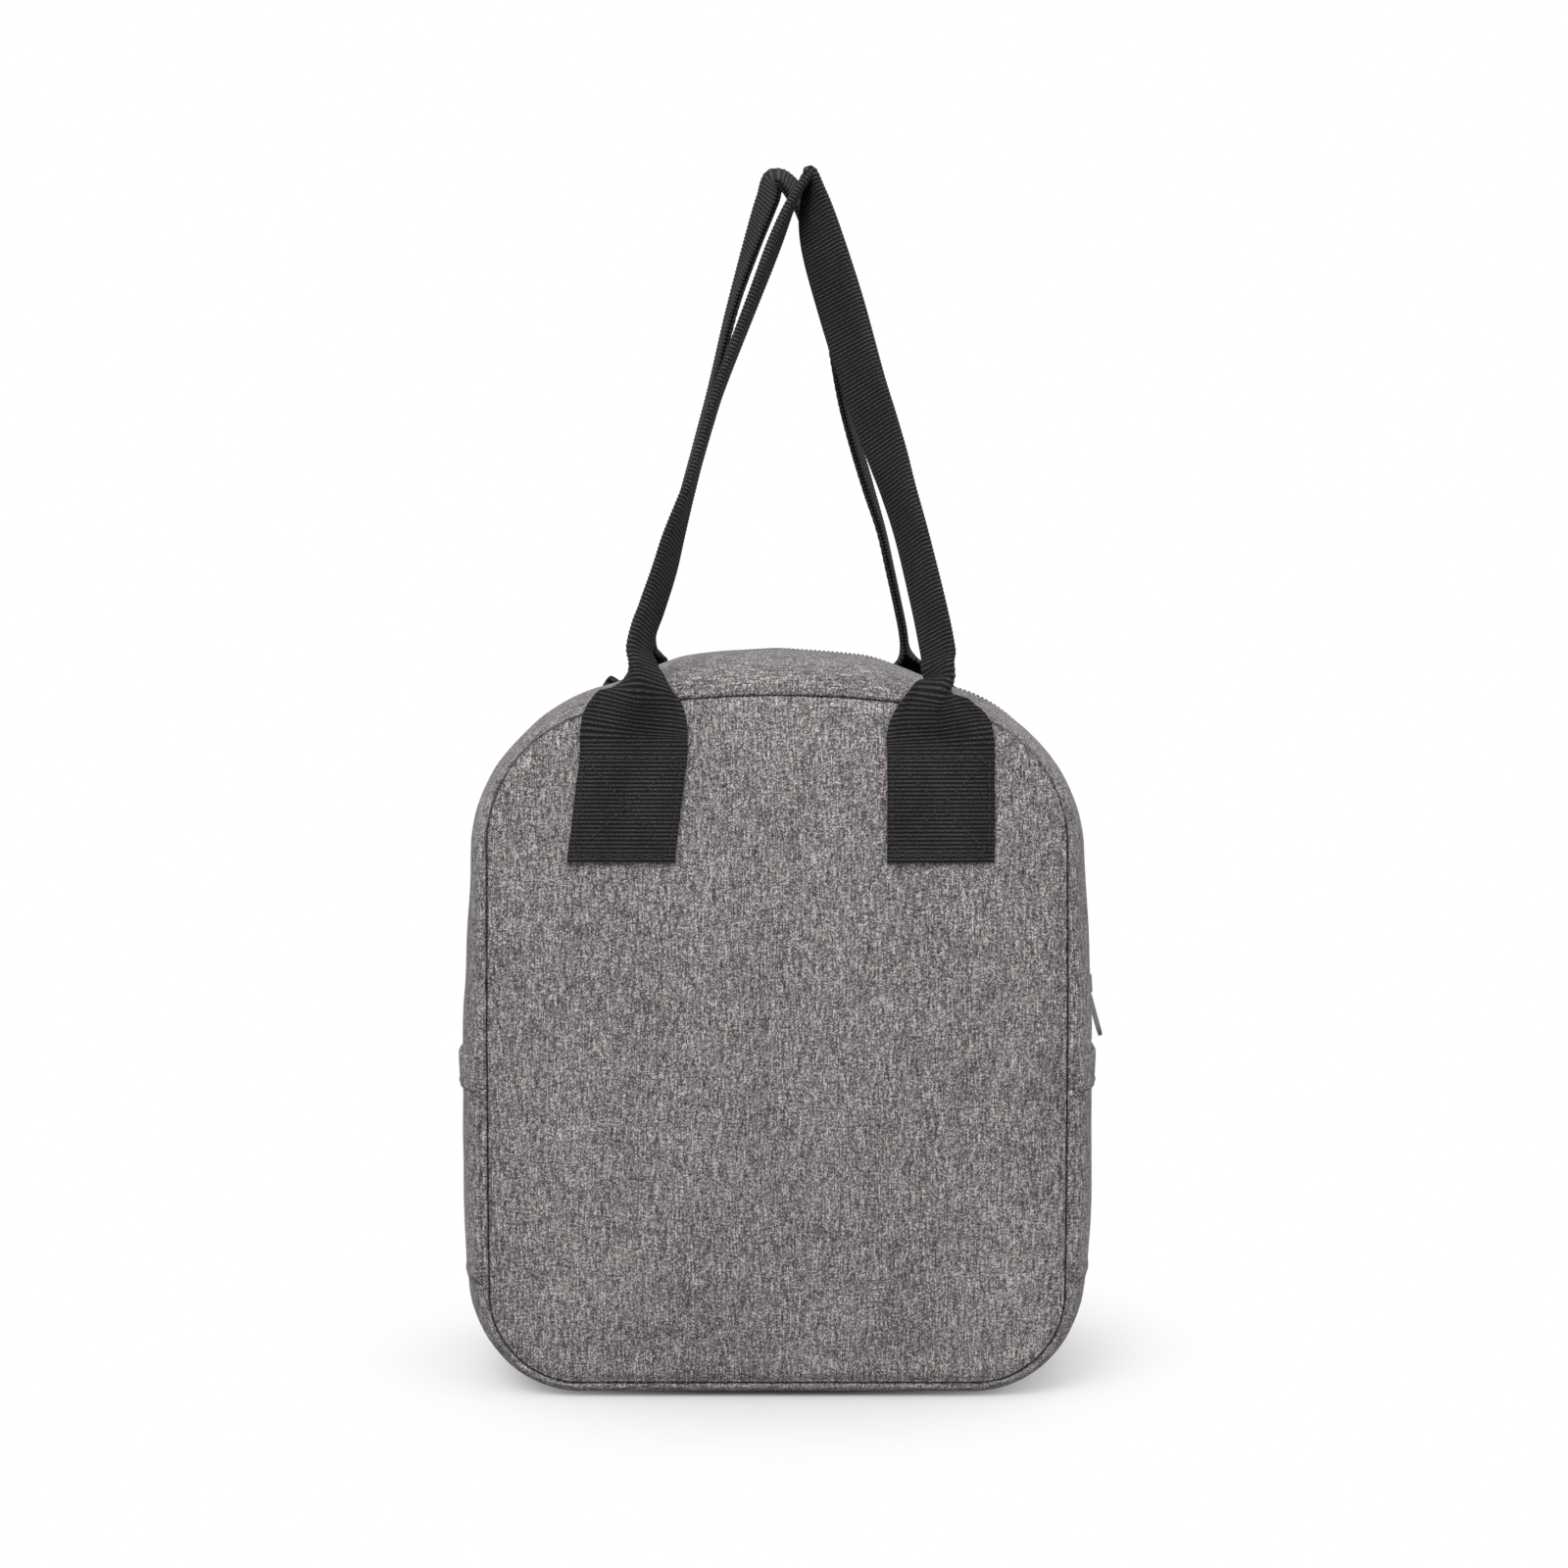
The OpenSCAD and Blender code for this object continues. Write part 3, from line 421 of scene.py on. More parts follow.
def depths(a, b, step=2.6 * MM):
    """Depths from a to b. An end at a seam is crowded, so that the round shoulder stays smooth."""
    count = max(3, round(abs(b - a) / step) + 6)
    low, high = [asin(max(-1.0, min(1.0, y / HALF_D))) for y in (a, b)]
    return [HALF_D * sin(low + (high - low) * k / count) for k in range(count + 1)]


def strip_grid(ts, ys, point, d, wave=0.0):
    """Points at places and depths, d below the surface. A wave swells and ripples the cloth."""
    grid = np.zeros((len(ts), len(ys), 3))
    for i, t in enumerate(ts):
        for j, y in enumerate(ys):
            p = point(t, y, d)
            if wave:
                x, z, nx, nz = outline(t)
                calm = min(1.0, (HALF_D - abs(y)) / SEAM_CALM)
                out = Vector((nx, 0, nz))
                push = max(-LEAST_IN, swollen(p).dot(out) * SWELL_SIDE_SHARE)
                p = p + out * (ripple(p, wave) + push) * calm * clamp(p.z / FLOOR_CALM)
            grid[i, j] = p
    return grid


def sewn(ts, ys, point, stand, wave):
    """Points of a seam on the rippled cloth, one for each place and depth."""
    return np.array([strip_grid([t], [y], point, -stand, wave)[0, 0] for t, y in zip(ts, ys)])


# ---------------- panels

CROWN_POWER = 3
MID_Z = (SEAM_LIFT + SEAM_TOP) / 2
TALL = (SEAM_TOP - SEAM_LIFT) / 2


def width_at(z):
    if z < SIDE_FOOT:
        return HALF_W - BOTTOM_R + sqrt(max(0, BOTTOM_R**2 - (SIDE_FOOT - z) ** 2))
    if z < SIDE_HEAD:
        return HALF_W
    return HALF_W - TOP_R + sqrt(max(0, TOP_R**2 - (z - SIDE_HEAD) ** 2))


def bow(x, z):
    across = 1 - min(1.0, abs(x) / width_at(z)) ** CROWN_POWER
    return across * (1 - min(1.0, abs(z - MID_Z) / TALL) ** CROWN_POWER)


def panel_y(x, z):
    return HALF_D + FABRIC_T + CROWN * bow(x, z)


PANEL_DITCH, PANEL_DITCH_W = 1.0 * MM, 1.5 * MM
SWAG, SWAG_AT, SWAG_W = 0.5 * MM, 5 * MM, 3 * MM  # the padding's rise beside the seam
RINGS = [0, 0.35, 0.8, 1.4, 2.1, 3, 4.2, 5.8, 8, 10.5, 13]  # mm from the seam
CORE_RINGS = 30
TUCK = 1.4 * MM  # how far a panel's cloth reaches out behind the gusset's edge where that bulges
TUCK_IN = 2.0 * MM  # and how far in
TUCK_FULL = 1.5 * MM  # the least rise of the gusset's edge for the whole tuck
TUCK_STEP, TUCK_CLEAR = 0.1 * MM, 0.15 * MM
TUCK_INSET = 0.4  # share of an inner layer's inset that its tuck keeps
FAR = 1.0  # a distance at which a seam no longer matters


def panel_grid(side, inset, depth, wave=0.0, ditch=True, tuck=True):
    """Rings of points from the seam to the panel's middle, on the panel's outer face less depth.

    With a tuck, three more rings carry the cloth in behind the gusset's edge."""
    ts = places(*ROUND_TRIP)[:-1]
    rings = ([-3, -2, -1] if tuck else []) + RINGS
    grid = np.zeros((len(ts), len(rings) + CORE_RINGS, 3))
    for i, t in enumerate(ts):
        x, z, nx, nz = outline(t)
        rise = bulge(t) * profile(SEAM_Y / HALF_D, flat_share(t))  # of the gusset's edge
        curl = soften(rise / TUCK_FULL)
        edge = FABRIC_T - rise - TUCK_CLEAR + TUCK_INSET * inset
        tucked = {-3: edge - TUCK * curl, -2: edge - TUCK_STEP, -1: edge}
        for j in range(len(rings) + CORE_RINGS):
            if j < len(rings):
                seam_away = inset + rings[j] * MM
                away = tucked.get(rings[j], seam_away)
                px, pz = last_x, last_z = x - nx * away, z - nz * away
                calm = max(0.0, rings[j] / rings[-1])
            else:
                k = 1 - (j - len(rings) + 1) / CORE_RINGS
                px, pz = last_x * k, MID_Z + (last_z - MID_Z) * k
                seam_away, calm = FAR, 1.0
            y = panel_y(px, pz) - depth
            if ditch:
                y -= PANEL_DITCH * exp(-((max(0.0, seam_away) / PANEL_DITCH_W) ** 2))
                y += SWAG * exp(-(((seam_away - SWAG_AT) / SWAG_W) ** 2))
                if tuck and j < 2:
                    y -= TUCK_IN * curl
            p = Vector((px, side * y, pz))
            if wave:
                loose = calm * patch_calm(side, px, pz)
                p.y += side * ripple(p, wave) * loose
                p.y += max(-LEAST_IN, side * swollen(p).y * SWELL_SHARE) * side * loose
            grid[i, j] = p
    return grid


def patch_calm(side, x, z):
    """0 under the handles' patches, which hold the cloth flat, and 1 away from them."""
    off_x = min(abs(x - foot) for foot in (BACK_FEET if side < 0 else FRONT_FEET)) - WEB_W / 2
    off_z = max(PATCH_FOOT - z, z - STITCH_Z)
    return soften(max(off_x, off_z, 0.0) / PATCH_CALM)


def panel(name, side, inset, depth, thickness, material, wave=0.0, ditch=True, tuck=True):
    grid = panel_grid(side, inset, depth, wave, ditch, tuck)
    inner = grid.copy()
    inner[..., 1] -= side * thickness
    uv = (grid[..., 0], grid[..., 2])
    return shell(name, grid, inner, material, ring=True, uv=uv, pole=True)


# ---------------- swelling by cloth simulation

SWELL_DEEP = 1.2 * MM
SWELL_VOXEL = 5 * MM
SWELL_CAP = 2.6 * MM
SWELL_SHARE, SWELL_SIDE_SHARE = 0.6, 0.3  # how much of it the panels and the gusset take
SWELL_SPREAD = 5 * MM
SWELL_FRAMES = 20
NEIGHBOURS = 6
PIN_REACH, ZIP_PIN_REACH, FLOOR_REACH = 6 * MM, 11 * MM, 7 * MM


def bag_surface():
    """The padded case's outside as one closed surface, a little smaller than the real one."""
    ts = places(*ROUND_TRIP, 6 * MM)[:-1]

    def panel_rings(side, shares):
        return [[(x * k, side * (panel_y(x * k, MID_Z + (z - MID_Z) * k) - SWELL_DEEP),
                  MID_Z + (z - MID_Z) * k) for x, z, nx, nz in map(outline, ts)] for k in shares]

    girdle = [[gusset_point(t, y, SWELL_DEEP) for t in ts] for y in depths(-SEAM_Y, SEAM_Y, 6 * MM)]
    rings = panel_rings(-1, (0.25, 0.5, 0.75)) + girdle + panel_rings(1, (0.75, 0.5, 0.25))
    poles = [panel_rings(side, (0,))[0][0] for side in (-1, 1)]
    verts = [poles[0]] + [p for ring in rings for p in ring] + [poles[1]]
    n, last = len(ts), len(rings) * len(ts) + 1
    end = last - n
    faces = [(0, 1 + i, 1 + (i + 1) % n) for i in range(n)] + tube_faces(1, len(rings), n)[:-2]
    faces += [(last, end + (i + 1) % n, end + i) for i in range(n)]
    mesh = bpy.data.meshes.new("bag_surface")
    mesh.from_pydata([tuple(v) for v in verts], [], faces)
    made = bmesh.new()
    made.from_mesh(mesh)
    bmesh.ops.recalc_face_normals(made, faces=made.faces)
    made.to_mesh(mesh)
    made.free()
    return link("bag_surface", mesh)


def pinned_points():
    """What holds the bag while it swells: the seams and patches, and the zipper."""
    seams = [(x, side * HALF_D, z) for t in places(*ROUND_TRIP, 4 * MM)
             for x, z, nx, nz in [outline(t)] for side in (-1, 1)]
    patches = [(foot + dx, side * panel_y(foot + dx, z), z)
               for side, feet in ((-1, BACK_FEET), (1, FRONT_FEET)) for foot in feet
               for dx in spaced(-WEB_W / 2, WEB_W / 2, 5 * MM)
               for z in spaced(PATCH_FOOT, STITCH_Z, 5 * MM)]
    return seams + patches, [tuple(gusset_point(t, ZIP_Y, 0)) for t in places(*UPPER, 4 * MM)]


def cloud(points):
    tree = KDTree(len(points))
    for i, p in enumerate(points):
        tree.insert(p, i)
    tree.balance()
    return tree


def swell():
    """How far each part of the cloth swells or creases: a search tree of places and their moves."""
    bag = bag_surface()
    remesh = bag.modifiers.new("even", "REMESH")
    remesh.mode = "VOXEL"
    remesh.voxel_size = SWELL_VOXEL
    bpy.context.view_layer.objects.active = bag
    bpy.ops.object.modifier_apply(modifier=remesh.name)
    before = [v.co.copy() for v in bag.data.vertices]
    held, chain = [cloud(p) for p in pinned_points()]
    pins = bag.vertex_groups.new(name="pins")
    for i, p in enumerate(before):
        near = min(held.find(p)[2] / PIN_REACH, chain.find(p)[2] / ZIP_PIN_REACH, p.z / FLOOR_REACH)
        pins.add([i], max(0.0, 1 - soften(near - 0.5)), "REPLACE")
    cloth = bag.modifiers.new("swell", "CLOTH")
    how = cloth.settings
    for key, value in dict(
            quality=6, mass=0.3, tension_stiffness=12, compression_stiffness=12, shear_stiffness=4,
            bending_stiffness=0.35, vertex_group_mass="pins", pin_stiffness=1.0, use_pressure=True,
            uniform_pressure_force=3.0, shrink_min=-0.02).items():
        setattr(how, key, value)
    how.effector_weights.gravity = 0
    cloth.collision_settings.use_collision = False
    cloth.point_cache.frame_start = 1
    cloth.point_cache.frame_end = SWELL_FRAMES
    scene = bpy.context.scene
    for frame_no in range(1, SWELL_FRAMES + 1):
        scene.frame_set(frame_no)
    after = bag.evaluated_get(bpy.context.evaluated_depsgraph_get()).to_mesh()
    moves = np.array([v.co for v in after.vertices]) - np.array(before)
    scene.frame_set(1)
    bpy.data.objects.remove(bag)
    size = np.linalg.norm(moves, axis=1)[:, None] + 1e-9
    moves *= SWELL_CAP * np.tanh(size / SWELL_CAP) / size
    return cloud(before), moves


SWELL = swell()


def swollen(p):
    """The simulated move of the cloth at a point, averaged over its neighbours."""
    total, weight = Vector((0, 0, 0)), 1e-9
    if SWELL:
        for at, i, away in SWELL[0].find_n(p, NEIGHBOURS):
            share = exp(-((away / SWELL_SPREAD) ** 2))
            total += Vector(SWELL[1][i]) * share
            weight += share
    return total / weight


# ---------------- materials

def rgba(color):
    """A colour with its alpha; a single number is a grey."""
    return (*color, 1) if isinstance(color, tuple) else (color, color, color, 1)


def turns(pitch):
    return 2 * pi / pitch


class Nodes:
    """Short words for making shader nodes."""

    def __init__(self, tree):
        self.tree = tree

    def feed(self, socket, value):
        if hasattr(value, "is_linked"):
            self.tree.links.new(value, socket)
        else:
            socket.default_value = value

    def put(self, kind, fed=None, **settings):
        made = self.tree.nodes.new(kind)
        for key, value in settings.items():
            setattr(made, key, value)
        for key, value in (fed or {}).items():
            self.feed(made.inputs[key], value)
        return made

    def math(self, operation, *values):
        return self.put("ShaderNodeMath", dict(enumerate(values)), operation=operation).outputs[0]

    def total(self, first, *others):
        """The sum of pairs of a value and its weight."""
        made = self.math("MULTIPLY", *first)
        for value, weight in others:
            made = self.math("MULTIPLY_ADD", value, weight, made)
        return made

    def wave(self, kind, value, pitch):
        return self.math(kind, self.math("MULTIPLY", value, turns(pitch)))

    def point(self, *places):
        """A point of up to three coordinates, each a value or a pair of a value and its scale."""
        at = [self.math("MULTIPLY", *p) if isinstance(p, tuple) else p for p in places]
        return self.put("ShaderNodeCombineXYZ", dict(enumerate(at))).outputs[0]

    def noise(self, *places, detail=2.0):
        fed = {"Vector": self.point(*places), "Scale": 1.0, "Detail": detail}
        return self.put("ShaderNodeTexNoise", fed).outputs[0]

    def ramp(self, value, *stops):
        made = self.put("ShaderNodeValToRGB", {0: value})
        elements = made.color_ramp.elements
        while len(elements) < len(stops):
            elements.new(0.5)
        for element, (at, color) in zip(elements, stops):
            element.position = at
            element.color = rgba(color)
        return made.outputs[0]

    def mix(self, share, a, b, how="MIX"):
        fed = {0: share, 6: a, 7: b}
        return self.put("ShaderNodeMix", fed, data_type="RGBA", blend_type=how).outputs[2]


class Surface(Nodes):
    """A material on the Principled shader."""

    def __init__(self, name, roughness, sheen=0.0, metallic=0.0, shine=0.5):
        self.material = bpy.data.materials.new(name)
        self.material.use_nodes = True
        super().__init__(self.material.node_tree)
        self.shader = self.tree.nodes["Principled BSDF"]
        for key, value in {"Roughness": roughness, "Metallic": metallic, "Sheen Weight": sheen,
                           "Sheen Roughness": 0.6, "Specular IOR Level": shine}.items():
            self.shader.inputs[key].default_value = value

    def weave(self):
        """The weave's coordinates across and along the cloth, in metres."""
        at = self.put("ShaderNodeUVMap", uv_map="weave").outputs[0]
        return self.put("ShaderNodeSeparateXYZ", {0: at}).outputs[:2]

    def paint(self, color, height=None, distance=0.0, strength=1.0):
        """Sets the colour and the bump, and gives the material."""
        self.feed(self.shader.inputs["Base Color"], color)
        if height is not None:
            fed = {"Distance": distance, "Strength": strength, "Height": height}
            self.feed(self.shader.inputs["Normal"], self.put("ShaderNodeBump", fed).outputs[0])
        return self.material


THREAD = 0.42 * MM


def heather():
    """Grey heather: dark and pale yarns crossing in a fine weave, with slubs up and across it."""
    n = Surface("heather", 0.95, sheen=0.05, shine=0.25)
    u, v = n.weave()
    warp_no, weft_no = [n.math("FLOOR", n.math("DIVIDE", along, THREAD)) for along in (u, v)]
    crossing = {"Vector": n.point(warp_no, weft_no)}
    speck = n.put("ShaderNodeTexWhiteNoise", crossing, noise_dimensions="2D").outputs["Value"]
    warp = n.noise((warp_no, 7.31), (v, 150), detail=1)
    weft = n.noise((u, 260), (weft_no, 5.17), 4.7, detail=1)
    patchy = n.noise((u, 34), (v, 16), 8.8)
    twill = n.wave("SINE", n.math("SUBTRACT", u, v), 2.4 * THREAD)
    tone = n.total((speck, 0.34), (warp, 0.50), (weft, 0.20), (patchy, 0.08), (twill, 0.03))
    base = n.ramp(tone, (0.34, 0.030), (0.50, 0.112), (0.62, 0.235), (0.80, 0.60))
    hue = n.noise((u, 90), (v, 60), 1.3, detail=3)
    tint = n.ramp(hue, (0.3, (1.05, 1.0, 0.995)), (0.7, (1.10, 0.99, 0.99)))
    height = n.total((warp, 1), (weft, 1), (twill, 0.25))
    return n.paint(n.mix(1.0, base, tint, "MULTIPLY"), height, 0.10 * MM, 0.8)


def webbing():
    """Black ribbed webbing: the ribs are in the mesh, the warp and some dust in the surface, and
    painted shade in the ribs' hollows with a painted highlight on their crests.
    """
    n = Surface("webbing", 0.85, sheen=0.02, shine=0.18)
    u, v = n.weave()
    warp = n.wave("SINE", u, 0.55 * MM)
    rib = n.wave("COSINE", v, RIB_PITCH)
    fuzz = n.noise((u, 2600), (v, 1900), detail=3)
    dust = n.noise((u, 70), (v, 30), 3.0, detail=4)
    # The rib's cosine in the colour is painted shade in the ribs' hollows and a painted highlight
    # on their crests.
    color = n.ramp(n.total((fuzz, 1), (rib, 0.2), (dust, 0.25)),
                   (0.40, 0.003), (0.70, (0.0185, 0.018, 0.0182)), (0.98, (0.105, 0.102, 0.101)))
    return n.paint(color, n.total((fuzz, 1), (warp, 0.4)), 0.10 * MM, 0.7)


def plain_cloth(name, color, roughness=0.85, thread=0.4 * MM, sheen=0.2, rise=0.05 * MM):
    """A smooth woven cloth or tape of one colour with fine threads."""
    n = Surface(name, roughness, sheen=sheen)
    u, v = n.weave()
    fuzz = n.noise((u, 1200), (v, 1200))
    broad = n.noise((u, 30), (v, 30), 5.0, detail=3)
    low, high = [tuple(min(1.0, c * share) for c in color) for share in (0.78, 1.2)]
    color = n.ramp(n.total((fuzz, 0.4), (broad, 0.6)), (0.3, low), (0.7, high))
    weave = n.math("MULTIPLY", n.wave("SINE", u, thread), n.wave("SINE", v, thread))
    return n.paint(color, weave, rise, 0.7)


def foam():
    n = Surface("foam", 0.95)
    u, v = n.weave()
    cells = n.noise((u, 1400), (v, 1400), detail=3)
    return n.paint(n.ramp(cells, (0.3, 0.70), (0.7, 0.86)), cells, 0.15 * MM, 0.8)


def nickel():
    """Nickel plate, a little brushed, with darker patches and soft scratches."""
    n = Surface("nickel", 0.24, metallic=1.0)
    where = n.put("ShaderNodeTexCoord").outputs["Object"]
    x, y, z = n.put("ShaderNodeSeparateXYZ", {0: where}).outputs
    brushed = n.noise((x, 900), (y, 5200), (z, 500))
    patchy = n.noise((x, 190), (y, 190), (z, 190))
    n.feed(n.shader.inputs["Roughness"], n.math("MULTIPLY_ADD", brushed, 0.25, 0.2))
    color = n.ramp(patchy, (0.3, (0.30, 0.285, 0.27)), (0.7, (0.46, 0.44, 0.42)))
    return n.paint(color, brushed, 0.02 * MM, 0.5)


def thread(name, color):
    """Sewing thread: two plies twisted, so that each stitch is finely banded by painted shade in
    the grooves between the plies.
    """
    n = Surface(name, 0.7, sheen=0.05, shine=0.3)
    ply_groove_shade = n.wave("SINE", n.math("ADD", *n.weave()), 0.5 * MM)
    # The darker bands are painted shade in the twist's grooves; the thread is of one colour.
    low = tuple(c * 0.6 for c in color)
    return n.paint(n.ramp(n.math("MULTIPLY_ADD", ply_groove_shade, 0.5, 0.5), (0.1, low), (0.7, color)))


HEATHER = heather()
WEBBING = webbing()
LINING = plain_cloth("lining", (0.60, 0.615, 0.635), roughness=0.42, thread=0.7 * MM, sheen=0.0)
TAPE = plain_cloth("zipper_tape", (0.021, 0.021, 0.022), thread=0.6 * MM, rise=0.09 * MM)
BINDING = plain_cloth("binding", (0.024, 0.024, 0.025), thread=0.5 * MM)
COIL = plain_cloth("zipper_coil", (0.022, 0.022, 0.023), roughness=0.38, thread=0.9 * MM, sheen=0.0)
FOAM = foam()
NICKEL = nickel()
GREY_THREAD = thread("grey_thread", (0.21, 0.205, 0.20))
BLACK_THREAD = thread("black_thread", (0.026, 0.025, 0.025))


# ---------------- the case's and the flap's cloth

OVER_FOLD = ("case", "flap", (0, 0, FOLD_Z - FOLD_HALF), (0, 0, FOLD_Z + FOLD_HALF))
RIPPLE = 0.6 * MM
# The foam's outer face lies this much deeper than the real one's, clear of the cloth's ditches
PAD_TRIM = 0.9 * MM
PAD_IN = FOAM_IN + 0.8 * MM


def attach(piece, slot, body, *nodes):
    """Puts a piece on a body, or bakes its place into its mesh when given several bodies, in place
    of the nodes it stands for.
    """
    if isinstance(body, tuple):
        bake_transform(piece)
    else:
        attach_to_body(piece, body)
    if nodes:
        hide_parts(*nodes)


def strip(name, t0, t1, y0, y1, d, thickness, material, wave=0.0, round_ends=False):
    """A strip of the gusset's wall as a closed sheet."""
    grid = strip_grid(places(t0, t1), depths(y0, y1), gusset_point, d, wave)
    return thick(name, grid, thickness, material, round_ends)


# The lining's hem at the zipper, from the rim in: its depth, and its reach past the slot's edge
HEM = ((TAPE_IN + TAPE_T + 0.1 * MM, 0.35 * MM), (LINING_IN - 2.2 * MM, 0.3 * MM),
       (LINING_IN - 0.6 * MM, 0.15 * MM))


def lining_strip(name, t0, t1, y0, y1):
    """The lining of a strip. At the zipper its edge turns out to the tape and covers the foam."""
    ts = places(t0, t1)
    grid = strip_grid(ts, depths(y0, y1), gusset_point, LINING_IN)
    if y0 == SLOT_FRONT:
        rim = [strip_grid(ts, [y0 - past], gusset_point, d) for d, past in HEM]
        grid = np.concatenate(rim + [grid], axis=1)
    if y1 == SLOT_BACK:
        rim = [strip_grid(ts, [y1 + past], gusset_point, d) for d, past in HEM[::-1]]
        grid = np.concatenate([grid] + rim, axis=1)
    return thick(name, grid, LINING_T, LINING)


def flat_panel(inset):
    rim = panel_grid(1, inset, 0, tuck=False)[:, 0]


PANELS = (("back", -1, "case", ["back_{}"]),
          ("front", 1, OVER_FOLD, ["front_{}_lower", "front_{}_upper"]))
STRIPS = (("lower_gusset", LOWER, -SEAM_Y, SEAM_Y, "case", ["lower_gusset{}"]),
          ("upper_gusset", UPPER, -SEAM_Y, SLOT_BACK, "case", ["upper_gusset_back{}"]),
          ("front_gusset", UPPER, SLOT_FRONT, SEAM_Y, OVER_FOLD,
           ["front_gusset_stub{}", "front_gusset_flap{}"]))


def filled(nodes, word):
    return [node.format(word) for node in nodes]


def make_outside():
    for word, side, body, nodes in PANELS:
        cloth = panel(word + "_panel_cloth", side, 0, 0, FABRIC_T, HEATHER, wave=RIPPLE)
        attach(cloth, "outer_fabric", body, *filled(nodes, "panel"))
        flat_panel(0)
    for word, (t0, t1), y0, y1, body, nodes in STRIPS:
        cloth = strip(word + "_cloth", t0, t1, y0, y1, 0, FABRIC_T, HEATHER, RIPPLE, True)
        attach(cloth, "outer_fabric", body, *filled(nodes, ""))


def make_inside():
    for word, side, body, nodes in PANELS:
        pad = panel(word + "_foam_pad", side, INSET, PANEL_FOAM_IN + PAD_TRIM, FOAM_T - PAD_TRIM,
                    FOAM, ditch=False, tuck=False)
        attach(pad, "foam", body, *filled(nodes, "foam"))
        cloth = panel(word + "_lining_cloth", side, INSET, PANEL_LINING_IN, LINING_T, LINING,
                      ditch=False)
        attach(cloth, "lining", body, *filled(nodes, "lining"))
        flat_panel(INSET)
    for word, (t0, t1), y0, y1, body, nodes in STRIPS:
        y0, y1 = max(y0, -CORE_Y), min(y1, CORE_Y)
        pad = strip(word + "_pad", t0, t1, y0, y1, PAD_IN, FOAM_T - PAD_TRIM, FOAM)
        attach(pad, "foam", body, *filled(nodes, "_foam"))
        cloth = lining_strip(word + "_lining_cloth", t0, t1, y0, y1)
        attach(cloth, "lining", body, *filled(nodes, "_lining"))


BINDING_W, BINDING_T = 7 * MM, 1.2 * MM
BINDING_IN = LINING_IN + LINING_T + 0.2 * MM
# Shares of the binding's width and height across its rounded back
BINDING_BACK = ((0, 0), (0.08, 0.55), (0.25, 0.9), (0.5, 1), (0.75, 0.9), (0.92, 0.55), (1, 0))


def make_binding(name, side, body, *nodes):
    """The tape over a seam, inside the case."""
    ts = places(*ROUND_TRIP, 4 * MM)[:-1]
    back = np.array([[gusset_point(t, side * (CORE_Y - BINDING_W * s), BINDING_IN + BINDING_T * h)
                      for s, h in BINDING_BACK] for t in ts])
    base = np.array([[gusset_point(t, p[1], BINDING_IN) for p in row] for t, row in zip(ts, back)])
    attach(shell(name, back, base, BINDING, ring=True), "binding", body, *nodes)


# ---------------- stitches

# Each ring of a stitch: share of the length, of the radius, and how high it stands in radii
STITCH_RINGS = ((0.0, 0.45, -0.7), (0.14, 0.9, 0.15), (0.5, 1.0, 0.4), (0.86, 0.9, 0.15),
                (1.0, 0.45, -0.7))
STITCH_SIDES = 6


def stitches(name, lines, material, pitch=3.0 * MM, length=2.3 * MM, radius=0.3 * MM):
    """Rows of stitches along lines of points with outward normals, as one piece."""
    verts, faces, spots = [], [], []
    for points, normals in lines:
        points, normals = np.asarray(points), np.asarray(normals)
        run = run_of(points)

        def at(s, rows=points):
            return np.array([np.interp(s, run, rows[:, c]) for c in range(3)])

        for k in range(int((run[-1] - length) / pitch) + 1):
            faces += tube_faces(len(verts), len(STITCH_RINGS), STITCH_SIDES)
            for share, girth, lift in STITCH_RINGS:
                s = k * pitch + length * share
                p, n = Vector(at(s)), Vector(at(s, normals)).normalized()
                ahead = Vector(at(s + 0.2 * MM) - at(s - 0.2 * MM)).normalized()
                across = ahead.cross(n).normalized()
                for q in range(STITCH_SIDES):
                    a = 2 * pi * q / STITCH_SIDES
                    verts.append(p + n * (radius * (lift + girth * sin(a)))
                                 + across * (radius * girth * cos(a)))
                    spots.append((radius * a, s))
    return make_tubes(name, verts, faces, spots, material)


SLOT_STITCH = 2 * MM
SUNK = -0.28 * MM
TOP_STITCH_RISE = 4.8 * MM
TOP_STITCH_TILT = -1.2
TOP_STITCHES = (3.9, 6.1)


def make_cloth_stitches():
    """Rows on both sides of the zipper, and one on the back of the dome."""
    def row(name, body, ts, ys, stand, tilt=0.0, **size):
        points = sewn(ts, ys, gusset_point, stand, RIPPLE)
        normals = [Vector((nx, tilt, nz)).normalized() for x, z, nx, nz in map(outline, ts)]
        piece = stitches(name, [(points, normals)], GREY_THREAD, **size)
        attach(piece, "outer_fabric", body)

    ts = places(*both_sides(UPPER[0] + 0.02))
    row("zipper_stitches_back", "case", ts, [SLOT_BACK - SLOT_STITCH] * len(ts), SUNK)
    row("zipper_stitches_front", OVER_FOLD, ts, [SLOT_FRONT + SLOT_STITCH] * len(ts), SUNK)
    ts = places(*TOP_STITCHES)
    ys = [-HALF_D * profile(min(0.98, TOP_STITCH_RISE / bulge(t)), 0) for t in ts]
    row("dome_stitches", "case", ts, ys, SUNK / 2, TOP_STITCH_TILT, radius=0.26 * MM)


# ---------------- side pockets

POCKET_LEVEL = -0.2 * MM - FABRIC_T / 2  # the cloth's middle, outside the gusset
POCKET_SEAM_Y = HALF_D - 0.5 * MM
POCKET_RIPPLE = 0.5 * MM
HEM_R = 0.45 * MM
HEM_STITCH = 1.6 * MM


